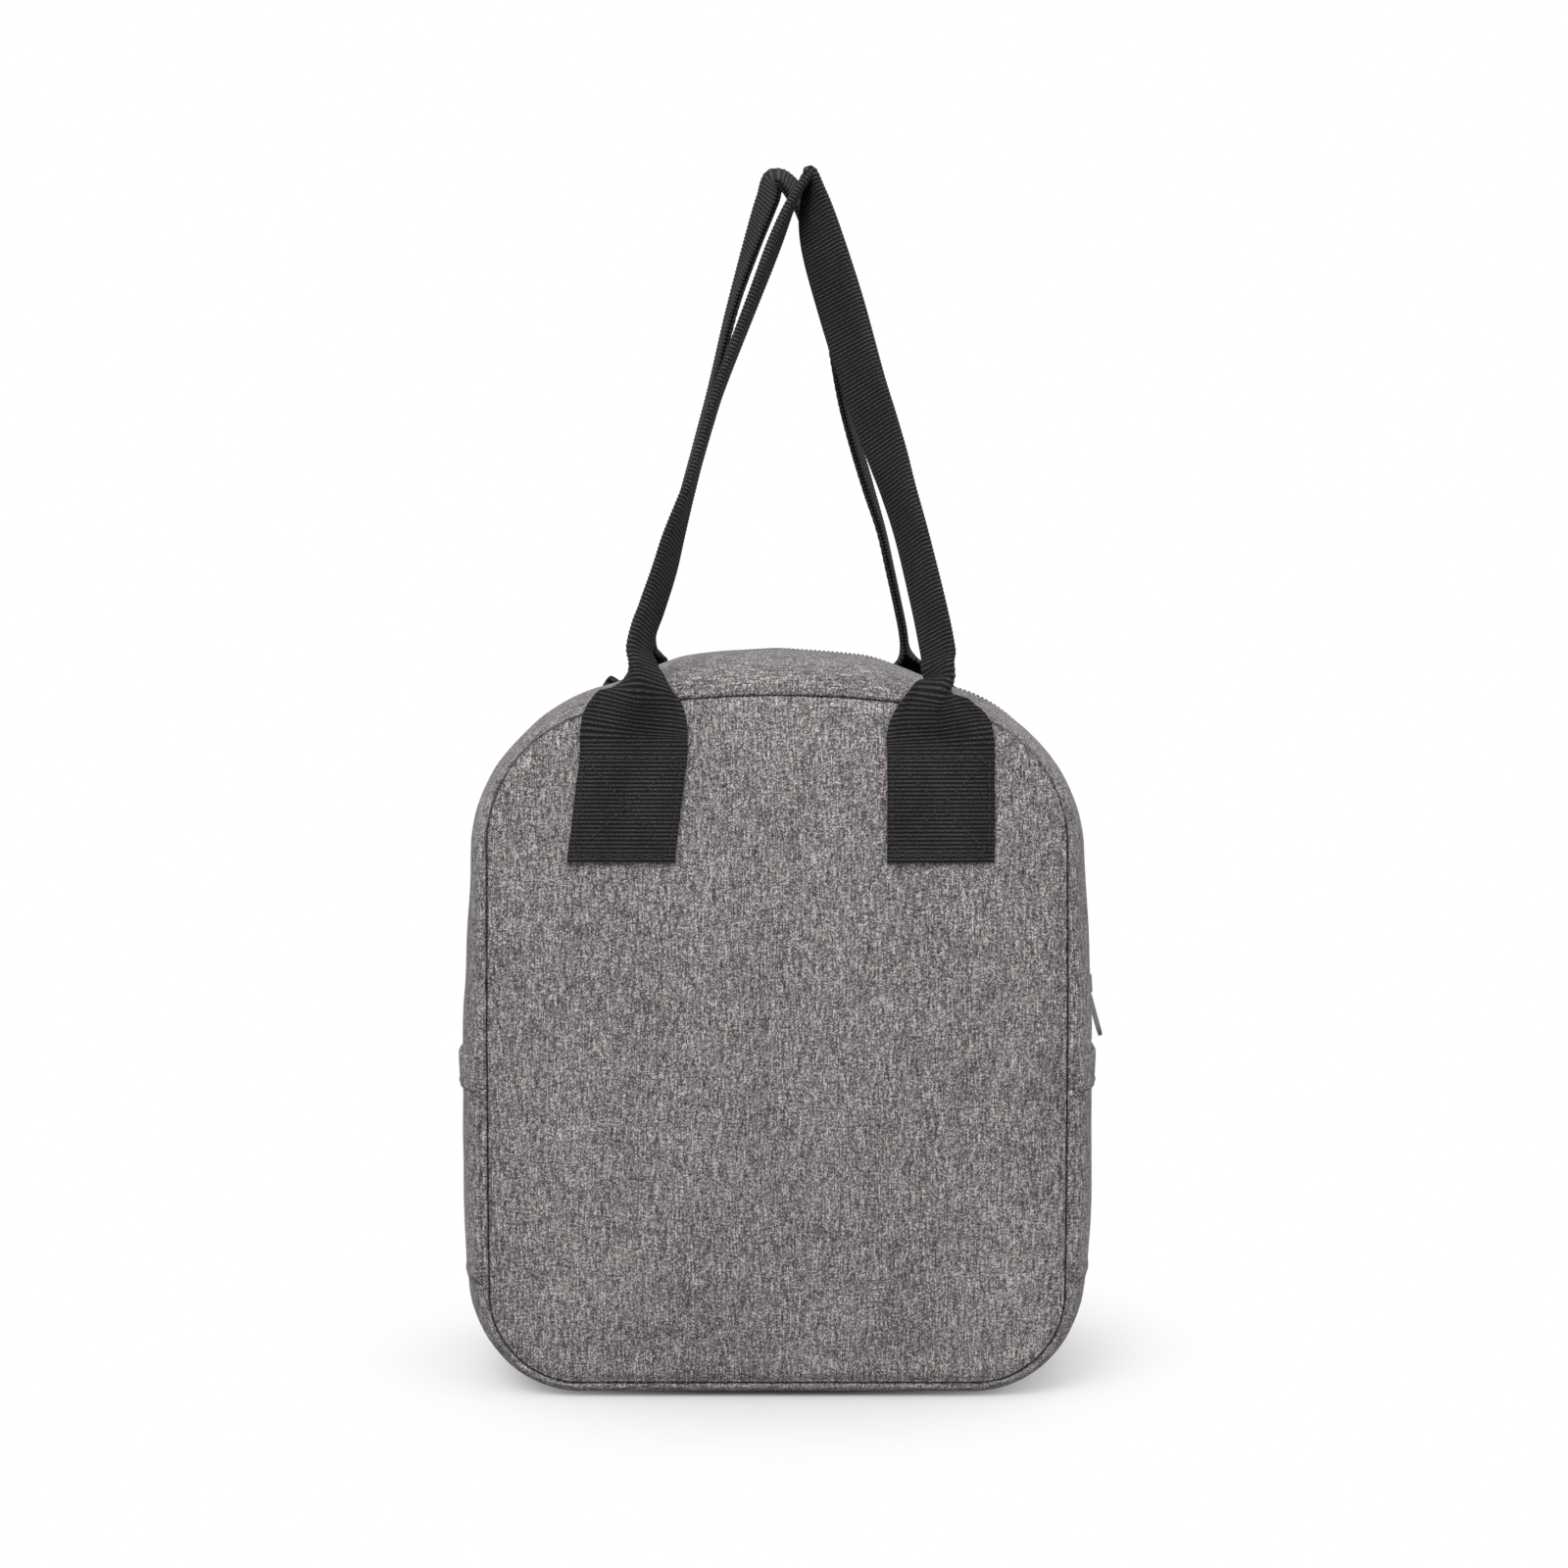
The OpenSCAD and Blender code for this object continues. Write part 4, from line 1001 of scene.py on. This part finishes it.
def make_pocket(side, word):
    """A pocket's cloth: up from its foot to the mouth, over it and down outside as the hem."""
    def cloth(z, y, d):
        p = pocket_point(side * side_t(z), y, d)
        calm = min(1.0, (HALF_D - abs(y)) / POCKET_CALM)
        p.x += side * ripple(Vector((p.x, p.y, z)), POCKET_RIPPLE) * calm
        return p

    def seam(z, stand):
        ys = spaced(-POCKET_SEAM_Y + 4 * MM, POCKET_SEAM_Y - 4 * MM, 2 * MM)
        return [cloth(z, y, POCKET_LEVEL - stand) for y in ys], [Vector((side, 0, 0))] * len(ys)

    turn_z = MOUTH_Z - HEM_R
    rows = [(z, POCKET_LEVEL) for z in spaced(POCKET_FOOT, turn_z, 2.5 * MM)]
    for turn in [pi * k / 8 for k in range(1, 8)]:
        rows.append((turn_z + HEM_R * sin(turn), POCKET_LEVEL - HEM_R * (1 - cos(turn))))
    rows += [(z, POCKET_LEVEL - 2 * HEM_R) for z in spaced(turn_z, MOUTH_Z - HEM_W, 1.5 * MM)]
    ys = depths(-POCKET_SEAM_Y, POCKET_SEAM_Y)
    grid = np.array([[cloth(z, y, d) for y in ys] for z, d in rows])
    off = grid_normals(grid) * FABRIC_T / 2
    piece = shell(word + "_pocket_cloth", grid + off, grid - off, HEATHER)
    attach(piece, "outer_fabric", "case", "side_pocket_" + word, "pocket_hem_" + word)

    hem = seam(MOUTH_Z - HEM_W + HEM_STITCH, 2 * HEM_R + FABRIC_T / 2)
    foot = seam(POCKET_FOOT + HEM_STITCH, FABRIC_T / 2)
    sewing = stitches(word + "_pocket_cloth_stitches", [hem, foot], GREY_THREAD)
    attach(sewing, "outer_fabric", "case")


# ---------------- zipper

COIL_PITCH = 1.6 * MM
COIL_TUBE = 0.34 * MM
COIL_HALF_W, COIL_HALF_H = 1.35 * MM, 0.62 * MM
COIL_LEVEL = 0.5 * MM
COIL_STEPS = 8  # points in a turn
COIL_SIDES = 5
COIL_MIDDLE = ROW_GAP / 2 + COIL_HALF_W - 0.05 * MM


def coil(name, t0, t1, side):
    """One row of the zipper's coil: a flattened helix of nylon along the tape's edge."""
    start, end = length_of(t0), length_of(t1)
    count = int((end - start) / COIL_PITCH * COIL_STEPS)
    middle = ZIP_Y + side * COIL_MIDDLE
    path = []
    for k in range(count + 1):
        a = 2 * pi * k / COIL_STEPS
        t = t_at(start + COIL_PITCH * k / COIL_STEPS)
        x, z, nx, nz = outline(t)
        out = Vector((nx, 0, nz))
        p = gusset_point(t, middle, COIL_LEVEL) + out * (COIL_HALF_H * sin(a))
        p.y = middle + COIL_HALF_W * cos(a) * side
        path.append((p, out))
    verts, spots = [], []
    for k, (p, n) in enumerate(path):
        ahead = (path[min(k + 1, count)][0] - path[max(k - 1, 0)][0]).normalized()
        wide = ahead.cross(n)
        wide = wide.normalized() if wide.length >= 0.2 else Vector((0, 1, 0))
        up = wide.cross(ahead)
        for q in range(COIL_SIDES):
            a = 2 * pi * q / COIL_SIDES
            verts.append(p + wide * (COIL_TUBE * cos(a)) + up * (COIL_TUBE * sin(a)))
            spots.append((COIL_TUBE * a, k * COIL_PITCH))
    return make_tubes(name, verts, tube_faces(0, count + 1, COIL_SIDES), spots, COIL)


TAPE_EDGE = 0.5 * MM
TAIL_W = 12 * MM
TAIL_STAND = 3.4 * MM
TAIL_LIFT = 2.0 * MM
TAIL_WAVE = 0.35 * MM
TAIL_SPREAD = 0.8 * MM


def make_tail(node, side):
    """The tape's two ends below the chain, loose over the pocket, cut off and a little curled."""
    foot, head = [corner.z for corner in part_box(node)]
    for half, word in ((-1, "rear"), (1, "front")):
        ys = [ZIP_Y + half * (0.4 * MM + (TAIL_W / 2 - 0.4 * MM) * k / 5) for k in range(6)]
        grid = []
        for z in spaced(foot, head, 1.2 * MM):
            free = (head - z) / (head - foot)
            curl = TAIL_LIFT * free**2 * (0.6 + 0.4 * half) + TAIL_WAVE * sin(9 * free + half)
            row = [pocket_point(side * side_t(z), y, -TAIL_STAND) for y in ys]
            grid.append([(p.x + side * curl * 0.5, y + half * TAIL_SPREAD * free, p.z)
                         for p, y in zip(row, ys)])
        part = thick(f"{node}_{word}", np.array(grid), TAPE_T, TAPE, round_ends=True)
        attach(part, "zipper_tape", "case", node)


def make_zipper():
    chain = both_sides(side_t(CHAIN_FOOT))
    for word, side, y0, y1, body, nodes in (
            ("rear", -1, SLOT_BACK - TAPE_TUCK, ZIP_Y - TAPE_EDGE, "case", ["zipper_{}_back"]),
            ("fore", 1, ZIP_Y + TAPE_EDGE, SLOT_FRONT + TAPE_TUCK, OVER_FOLD,
             ["zipper_{}_stub", "zipper_{}_front"])):
        tape = strip("zipper_tape_" + word, *UPPER, y0, y1, TAPE_IN, TAPE_T, TAPE, round_ends=True)
        attach(tape, "zipper_tape", body, *filled(nodes, "tape"))
        row = coil("zipper_coil_" + word, *chain, side)
        attach(row, "zipper_teeth", body, *filled(nodes, "teeth"))
    make_tail("zipper_tail_left", -1)
    make_tail("zipper_tail_right", 1)


# ---------------- handles

# Each leg's stations: height from the stitching to the top and way across, both in
# thousandths, turn of the fold's open side about the vertical in degrees, and how far the webbing
# is open in hundredths: 100 is flat, and it is left out where the webbing is folded in half.
BACK_LEFT_LEG = [
    (0, 0, 90, 100), (35, 2, 90, 97), (60, 12, 90, 82), (85, 24, 89, 60), (110, 34, 86, 38),
    (135, 38, 80, 18), (155, 36, 76, 7), (180, 34, 70, 1), (215, 62, 68), (250, 104, 68),
    (310, 170, 70), (370, 226, 74), (450, 308, 84), (500, 354, 87), (570, 420, 87),
    (635, 490, 87), (770, 660, 85), (880, 798, 80), (960, 910, 82)]
BACK_RIGHT_LEG = [
    (0, 0, 90, 100), (20, 4, 90, 98), (40, 12, 90, 86), (62, 22, 91, 66), (85, 28, 94, 42),
    (108, 24, 99, 20), (130, -5, 108, 6), (155, 15, 118, 2), (180, 30, 122), (250, 92, 122),
    (370, 220, 121), (450, 324, 124), (500, 394, 130), (570, 500, 136), (635, 596, 139),
    (770, 772, 145), (880, 915, 140), (960, 990, 122)]
FRONT_LEFT_LEG = [
    (0, 0, -90, 100), (45, 15, -90, 98), (70, 65, -89, 58), (100, 85, -88, 30),
    (130, 66, -88, 18), (145, 58, -88, 13), (162, 52, -88, 5), (193, 70, -88), (231, 109, -88),
    (305, 179, -88), (380, 255, -87), (455, 338, -85), (530, 425, -84), (635, 540, -84),
    (770, 675, -82), (880, 815, -78), (960, 930, -82)]
FRONT_RIGHT_LEG = [
    (0, 0, -90, 100), (45, 5, -90, 98), (70, 20, -91, 78), (100, 34, -92, 45), (135, 44, -92, 14),
    (157, 60, -92, 1), (193, 80, -92), (231, 111, -92), (305, 179, -93), (380, 250, -94),
    (455, 345, -98), (530, 437, -99), (605, 520, -98), (680, 580, -97), (755, 630, -96),
    (830, 685, -98), (900, 745, -100), (955, 830, -98)]

BACK_LEAN = radians(7)  # of the back's left patch; the others stand straight
PATCH_GAP = 0.3 * MM
WEB_LEVEL = PATCH_GAP + WEB_T / 2
STRAIGHT_SHARE = 0.11
TOP_X = {-1: 12 * MM, 1: 0.0}
TOP_DROP = {-1: 5.6 * MM, 1: 3.8 * MM}
TOP_ROLL = {-1: 10, 1: 18}  # degrees that the folded webbing leans over at the top
ROLL_FROM = 0.82
LEG_Y = HALF_D + FABRIC_T + CROWN * bow(57 * MM, STITCH_Z) + WEB_LEVEL + 0.2 * MM
TOP_Y = WEB_W / 4 + 1.6 * MM
FOLDED = radians(-1.2)
CREASE = 0.8 * MM
HUG, TWIST = 12 * MM, 8 * MM  # heights over which the webbing leaves the panel and starts to turn
SWING = (-1.5 * MM, 3.5 * MM)  # heights from the stitching, given to attach with the handle's two bodies
EDGE_SEWN = 45 * MM  # height from the stitching where the folded edges are sewn together
DOME_RISE = 15.5 * MM
# Distances in mm from the crease at which the webbing's section has its points
ACROSS = [0, 0.35, 0.75, 1.3, 2.1, 3.2, 5, 7.5, 10.5, 13.5, 16, 17.8, 19]
ACROSS_STEPS = 6
ALONG_STEPS = 24
FOOT_STEPS = 4
RIB_ROWS = 4
RIB_RISE = 0.17 * MM
SELVAGE_W, THIN_W = 2.4 * MM, 0.7 * MM
THIN = 0.55  # the selvage's share of the thickness


def clear_y(x, z):
    """How far from the middle the webbing must stay to lie on the case and not inside it."""
    off = abs(x) - (HALF_W - TOP_R)
    if off > TOP_R * sin(ARCH_SLOPE):
        seam = SIDE_HEAD + sqrt(max(0.0, TOP_R**2 - off**2))
    else:
        seam = SEAM_TOP - ARCH_R + sqrt(ARCH_R**2 - x**2)
    if z <= seam:
        return panel_y(x, z)
    over = (z - seam) / DOME_RISE
    return HALF_D * (1 - over**3) ** (1 / 3) + FABRIC_T if over < 1 else 0.0


def station(s, foot_x, side):
    """x, y, z, turn, openness and roll at a leg's station."""
    height, across, turn, *open_share = s[0] / 1000, s[1] / 1000, *s[2:]
    x = foot_x + (TOP_X[side] - foot_x) * across
    y = LEG_Y + (TOP_Y - LEG_Y) * max(0.0, height - STRAIGHT_SHARE) / (1 - STRAIGHT_SHARE)
    z = STITCH_Z + PATCH_GAP + (HANDLE_TOP - TOP_DROP[side] - STITCH_Z) * height
    roll = TOP_ROLL[side] * soften((height - ROLL_FROM) / (1 - ROLL_FROM))
    return np.array([x, side * y, z, turn, sum(open_share) / 100, roll])


def bend(keys, i, u):
    """A smooth curve through the stations, at u from station i to the next."""
    a, b, c, d = keys[max(0, i - 1)], keys[i], keys[i + 1], keys[min(len(keys) - 1, i + 2)]
    square, cube = 2 * a - 5 * b + 4 * c - d, 3 * b - a - 3 * c + d
    return (2 * b + (c - a) * u + square * u * u + cube * u**3) / 2


def section(open_share):
    """The webbing's mid-line: along the fold, aside from it, and the distance from the crease."""
    angle = FOLDED + (pi / 2 - FOLDED) * clamp(open_share) ** 0.8
    along, aside, done = 0.0, 0.0, 0.0
    right = [(0.0, 0.0, 0.0)]
    for mark in ACROSS[1:]:
        ds = (mark * MM - done) / ACROSS_STEPS
        for k in range(ACROSS_STEPS):
            turn = angle + (pi / 2 - angle) * exp(-(done + ds * (k + 0.5)) / CREASE)
            along += ds * cos(turn)
            aside += ds * sin(turn)
        done = mark * MM
        right.append((along, aside, done))
    middle = WEB_W / 4 * cos(angle)
    left = [(a, -b, -s) for a, b, s in right[:0:-1]]
    return [(a - middle, b, s) for a, b, s in left + right]


def handle(name, side, left_leg, right_leg, feet, lean, fixed, loose, *nodes):
    """One length of webbing: up from one patch, over the top and down to the other patch."""
    patch_l = STITCH_Z - PATCH_FOOT
    left_x = feet[0] + patch_l * tan(lean)
    top_turn = -90 * side

    def foot(x, low_x):
        return [np.array([low_x + (x - low_x) * k / FOOT_STEPS, side * LEG_Y,
                          PATCH_FOOT + patch_l * k / FOOT_STEPS, top_turn, 1.0, 0])
                for k in range(FOOT_STEPS)]

    keys = foot(left_x, feet[0]) + [station(s, left_x, side) for s in left_leg]
    keys.append(station((1000, 1000, top_turn), 0, side))
    keys += [station(s, feet[1], side) for s in right_leg[::-1]] + foot(feet[1], feet[1])[::-1]
    fine = np.array([bend(keys, i, k / ALONG_STEPS) for i in range(len(keys) - 1)
                     for k in range(ALONG_STEPS)] + [keys[-1]])
    run = run_of(fine[:, :3])
    count = round(run[-1] / (RIB_PITCH / RIB_ROWS))
    at = np.linspace(0, run[-1], count + 1)
    rows = np.stack([np.interp(at, run, fine[:, c]) for c in range(fine.shape[1])], axis=1)

    across = np.array([s for a, b, s in section(1)])
    grid = np.zeros((count + 1, len(across), 3))
    for i, row in enumerate(rows):
        ahead = Vector(rows[min(i + 2, count)][:3] - rows[max(i - 2, 0)][:3]).normalized()
        turn, roll = radians(row[3]), radians(row[5])
        wide = Vector((cos(turn), sin(turn), 0))
        wide = (wide - ahead * wide.dot(ahead)).normalized()
        wide = wide * cos(roll) + ahead.cross(wide) * sin(roll)
        aside = ahead.cross(wide)
        level = soften((row[2] - STITCH_Z) / TWIST)
        straight = Vector((copysign(1, aside.x), 0, 0))
        aside = (straight * (1 - level) + aside * level).normalized()
        for j, (a, b, s) in enumerate(section(row[4])):
            p = Vector(row[:3]) + wide * a + aside * b
            hug = soften((STITCH_Z + HUG - p.z) / HUG)
            p.y += (side * (panel_y(p.x, p.z) + WEB_LEVEL) - p.y) * hug
            p.y = side * max(side * p.y, clear_y(p.x, p.z) + WEB_LEVEL)
            grid[i, j] = p
    n = grid_normals(grid)
    to_edge = WEB_W / 2 - np.abs(across)
    ribbed = np.clip(to_edge / SELVAGE_W, 0, 1)
    ribbed *= 0.35 + 0.65 * np.clip(np.abs(across) / CREASE / 2, 0, 1)
    rib = RIB_RISE * np.cos(turns(RIB_PITCH) * at)[:, None] * ribbed
    half = WEB_T / 2 * (THIN + (1 - THIN) * np.clip(to_edge / THIN_W, 0, 1))
    offset = n * (half + rib)[..., None]
    piece = shell(name, grid + offset, grid - offset, WEBBING, uv=(across + WEB_W / 2, at))
    attach(piece, "webbing", (fixed, loose, *[(0, 0, STITCH_Z + z) for z in SWING]), *nodes)

    high = [i for i in range(0, count + 1, 3) if rows[i][2] > STITCH_Z + EDGE_SEWN]
    lines = [(grid[high, j] + n[high, j] * sign * (WEB_T / 2 + RIB_RISE * 0.4), n[high, j] * sign)
             for j, sign in ((2, -1), (len(across) - 3, 1))]
    seam = stitches(name + "_edge_stitches", lines, BLACK_THREAD, 3.2 * MM, 2.4 * MM, 0.16 * MM)
    attach(seam, "webbing", loose)


BOX_IN, BOX_FOOT, BOX_HEAD, BOX_DOUBLE = 1.9 * MM, 3.2 * MM, 0.6 * MM, 0.9 * MM
LINE_STEPS = 20


def patch_stitches(name, side, x, lean, body):
    """The box with a cross that sews a patch to its panel."""
    def line(b0, z0, b1, z1):
        points = []
        for share in [k / LINE_STEPS for k in range(LINE_STEPS + 1)]:
            z = z0 + (z1 - z0) * share
            px = x + (z - PATCH_FOOT) * tan(lean) + (b0 + (b1 - b0) * share)
            out = panel_y(px, z) + PATCH_GAP + WEB_T + RIB_RISE * 0.6
            points.append(Vector((px, side * out, z)))
        return points, [Vector((0, side, 0))] * len(points)

    b, low, high = WEB_W / 2 - BOX_IN, PATCH_FOOT + BOX_FOOT, STITCH_Z - BOX_HEAD
    double = low - BOX_DOUBLE
    lines = [line(*ends) for ends in (
        (-b, high, b, high), (-b, low, b, low), (-b, low, -b, high), (b, low, b, high),
        (-b, low, b, high), (-b, high, b, low), (-b, double, b, double))]
    attach(stitches(name, lines, BLACK_THREAD, 3.7 * MM, 2.9 * MM, 0.33 * MM), "webbing", body)


def make_handles():
    for word, side, left_leg, right_leg, feet, lean, body in (
            ("back", -1, BACK_LEFT_LEG, BACK_RIGHT_LEG, BACK_FEET, BACK_LEAN, "case"),
            ("front", 1, FRONT_LEFT_LEG, FRONT_RIGHT_LEG, FRONT_FEET, 0.0, "flap")):
        handle(word + "_handle_webbing", side, left_leg, right_leg, feet, lean, body,
               word + "_handle", "handle_loop_" + word, f"handle_patch_{word}_left",
               f"handle_patch_{word}_right")
        patch_stitches(word + "_left_stitches", side, feet[0], lean, body)
        patch_stitches(word + "_right_stitches", side, feet[1], 0.0, body)


# ---------------- metal

def dress_metal():
    for node in ("zipper_slider", "zipper_pull", "zipper_stops"):
        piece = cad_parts[node]
        for place in piece.material_slots:
            place.material = NICKEL
        if not piece.material_slots:
            piece.data.materials.append(NICKEL)


# ---------------- studio

FLOOR_FADE = (0.05, 0.19)  # distance from the object's middle over which the floor turns white
FLOOR_BOUNCE = 0.32  # how much of the light the floor throws back at the object
BACKDROP_LIGHT = 0.72
MIDDLE_OF_ALL = (0, 0, 0.2)


def make_floor():
    bpy.ops.mesh.primitive_plane_add(size=12, location=(0, 0, -0.1 * MM))
    floor = bpy.context.object
    floor.name = "studio_floor"
    n = Surface("floor", 0.9)
    grain = n.put("ShaderNodeTexNoise", {"Scale": 900}).outputs[0]
    seen = n.put("ShaderNodeLightPath").outputs["Is Camera Ray"]
    n.paint(n.mix(seen, rgba(FLOOR_BOUNCE), n.ramp(grain, (0.3, 0.93), (0.7, 0.95))))
    where = n.put("ShaderNodeTexCoord").outputs["Object"]
    away = n.put("ShaderNodeVectorMath", {0: where}, operation="LENGTH").outputs["Value"]
    fed = {"Value": away, "From Min": FLOOR_FADE[0], "From Max": FLOOR_FADE[1]}
    fade = n.put("ShaderNodeMapRange", fed, interpolation_type="SMOOTHSTEP").outputs[0]
    white = n.put("ShaderNodeEmission").outputs[0]
    faded = {0: n.math("MULTIPLY", fade, seen), 1: n.shader.outputs[0], 2: white}
    blend = n.put("ShaderNodeMixShader", faded).outputs[0]
    n.feed(n.tree.nodes["Material Output"].inputs["Surface"], blend)
    floor.data.materials.append(n.material)


def make_backdrop():
    """A world that is white to the camera and a soft grey light to everything else."""
    world = bpy.data.worlds.new("studio")
    bpy.context.scene.world = world
    world.use_nodes = True
    n = Nodes(world.node_tree)
    path = n.put("ShaderNodeLightPath").outputs
    seen = n.math("MAXIMUM", path["Is Camera Ray"], path["Is Transmission Ray"])
    paint = n.tree.nodes["Background"]
    paint.inputs["Strength"].default_value = 1.0
    n.feed(paint.inputs["Color"], n.mix(seen, rgba(BACKDROP_LIGHT), rgba(1)))


def make_light(name, at, size, power):
    data = bpy.data.lights.new(name, "AREA")
    data.size = size
    data.energy = power
    lamp = link(name, data)
    lamp.location = at
    lamp.rotation_mode = "QUATERNION"
    lamp.rotation_quaternion = (Vector(MIDDLE_OF_ALL) - Vector(at)).to_track_quat("-Z", "Y")


def make_studio():
    make_floor()
    make_backdrop()
    make_light("key", (-0.7, -1.5, 1.65), 1.2, 25)
    make_light("fill", (1.3, -1.3, 0.8), 1.2, 7)
    make_light("top", (0.2, 0.4, 1.9), 1.4, 4)
    bpy.context.scene.view_settings.view_transform = "Standard"


make_outside()
make_inside()
make_binding("back_seam_binding", -1, "case", "seam_binding_back")
make_binding("front_seam_binding", 1, OVER_FOLD, "seam_binding_front_lower",
             "seam_binding_front_upper")
make_cloth_stitches()
make_pocket(-1, "left")
make_pocket(1, "right")
make_zipper()
make_handles()
dress_metal()
make_studio()
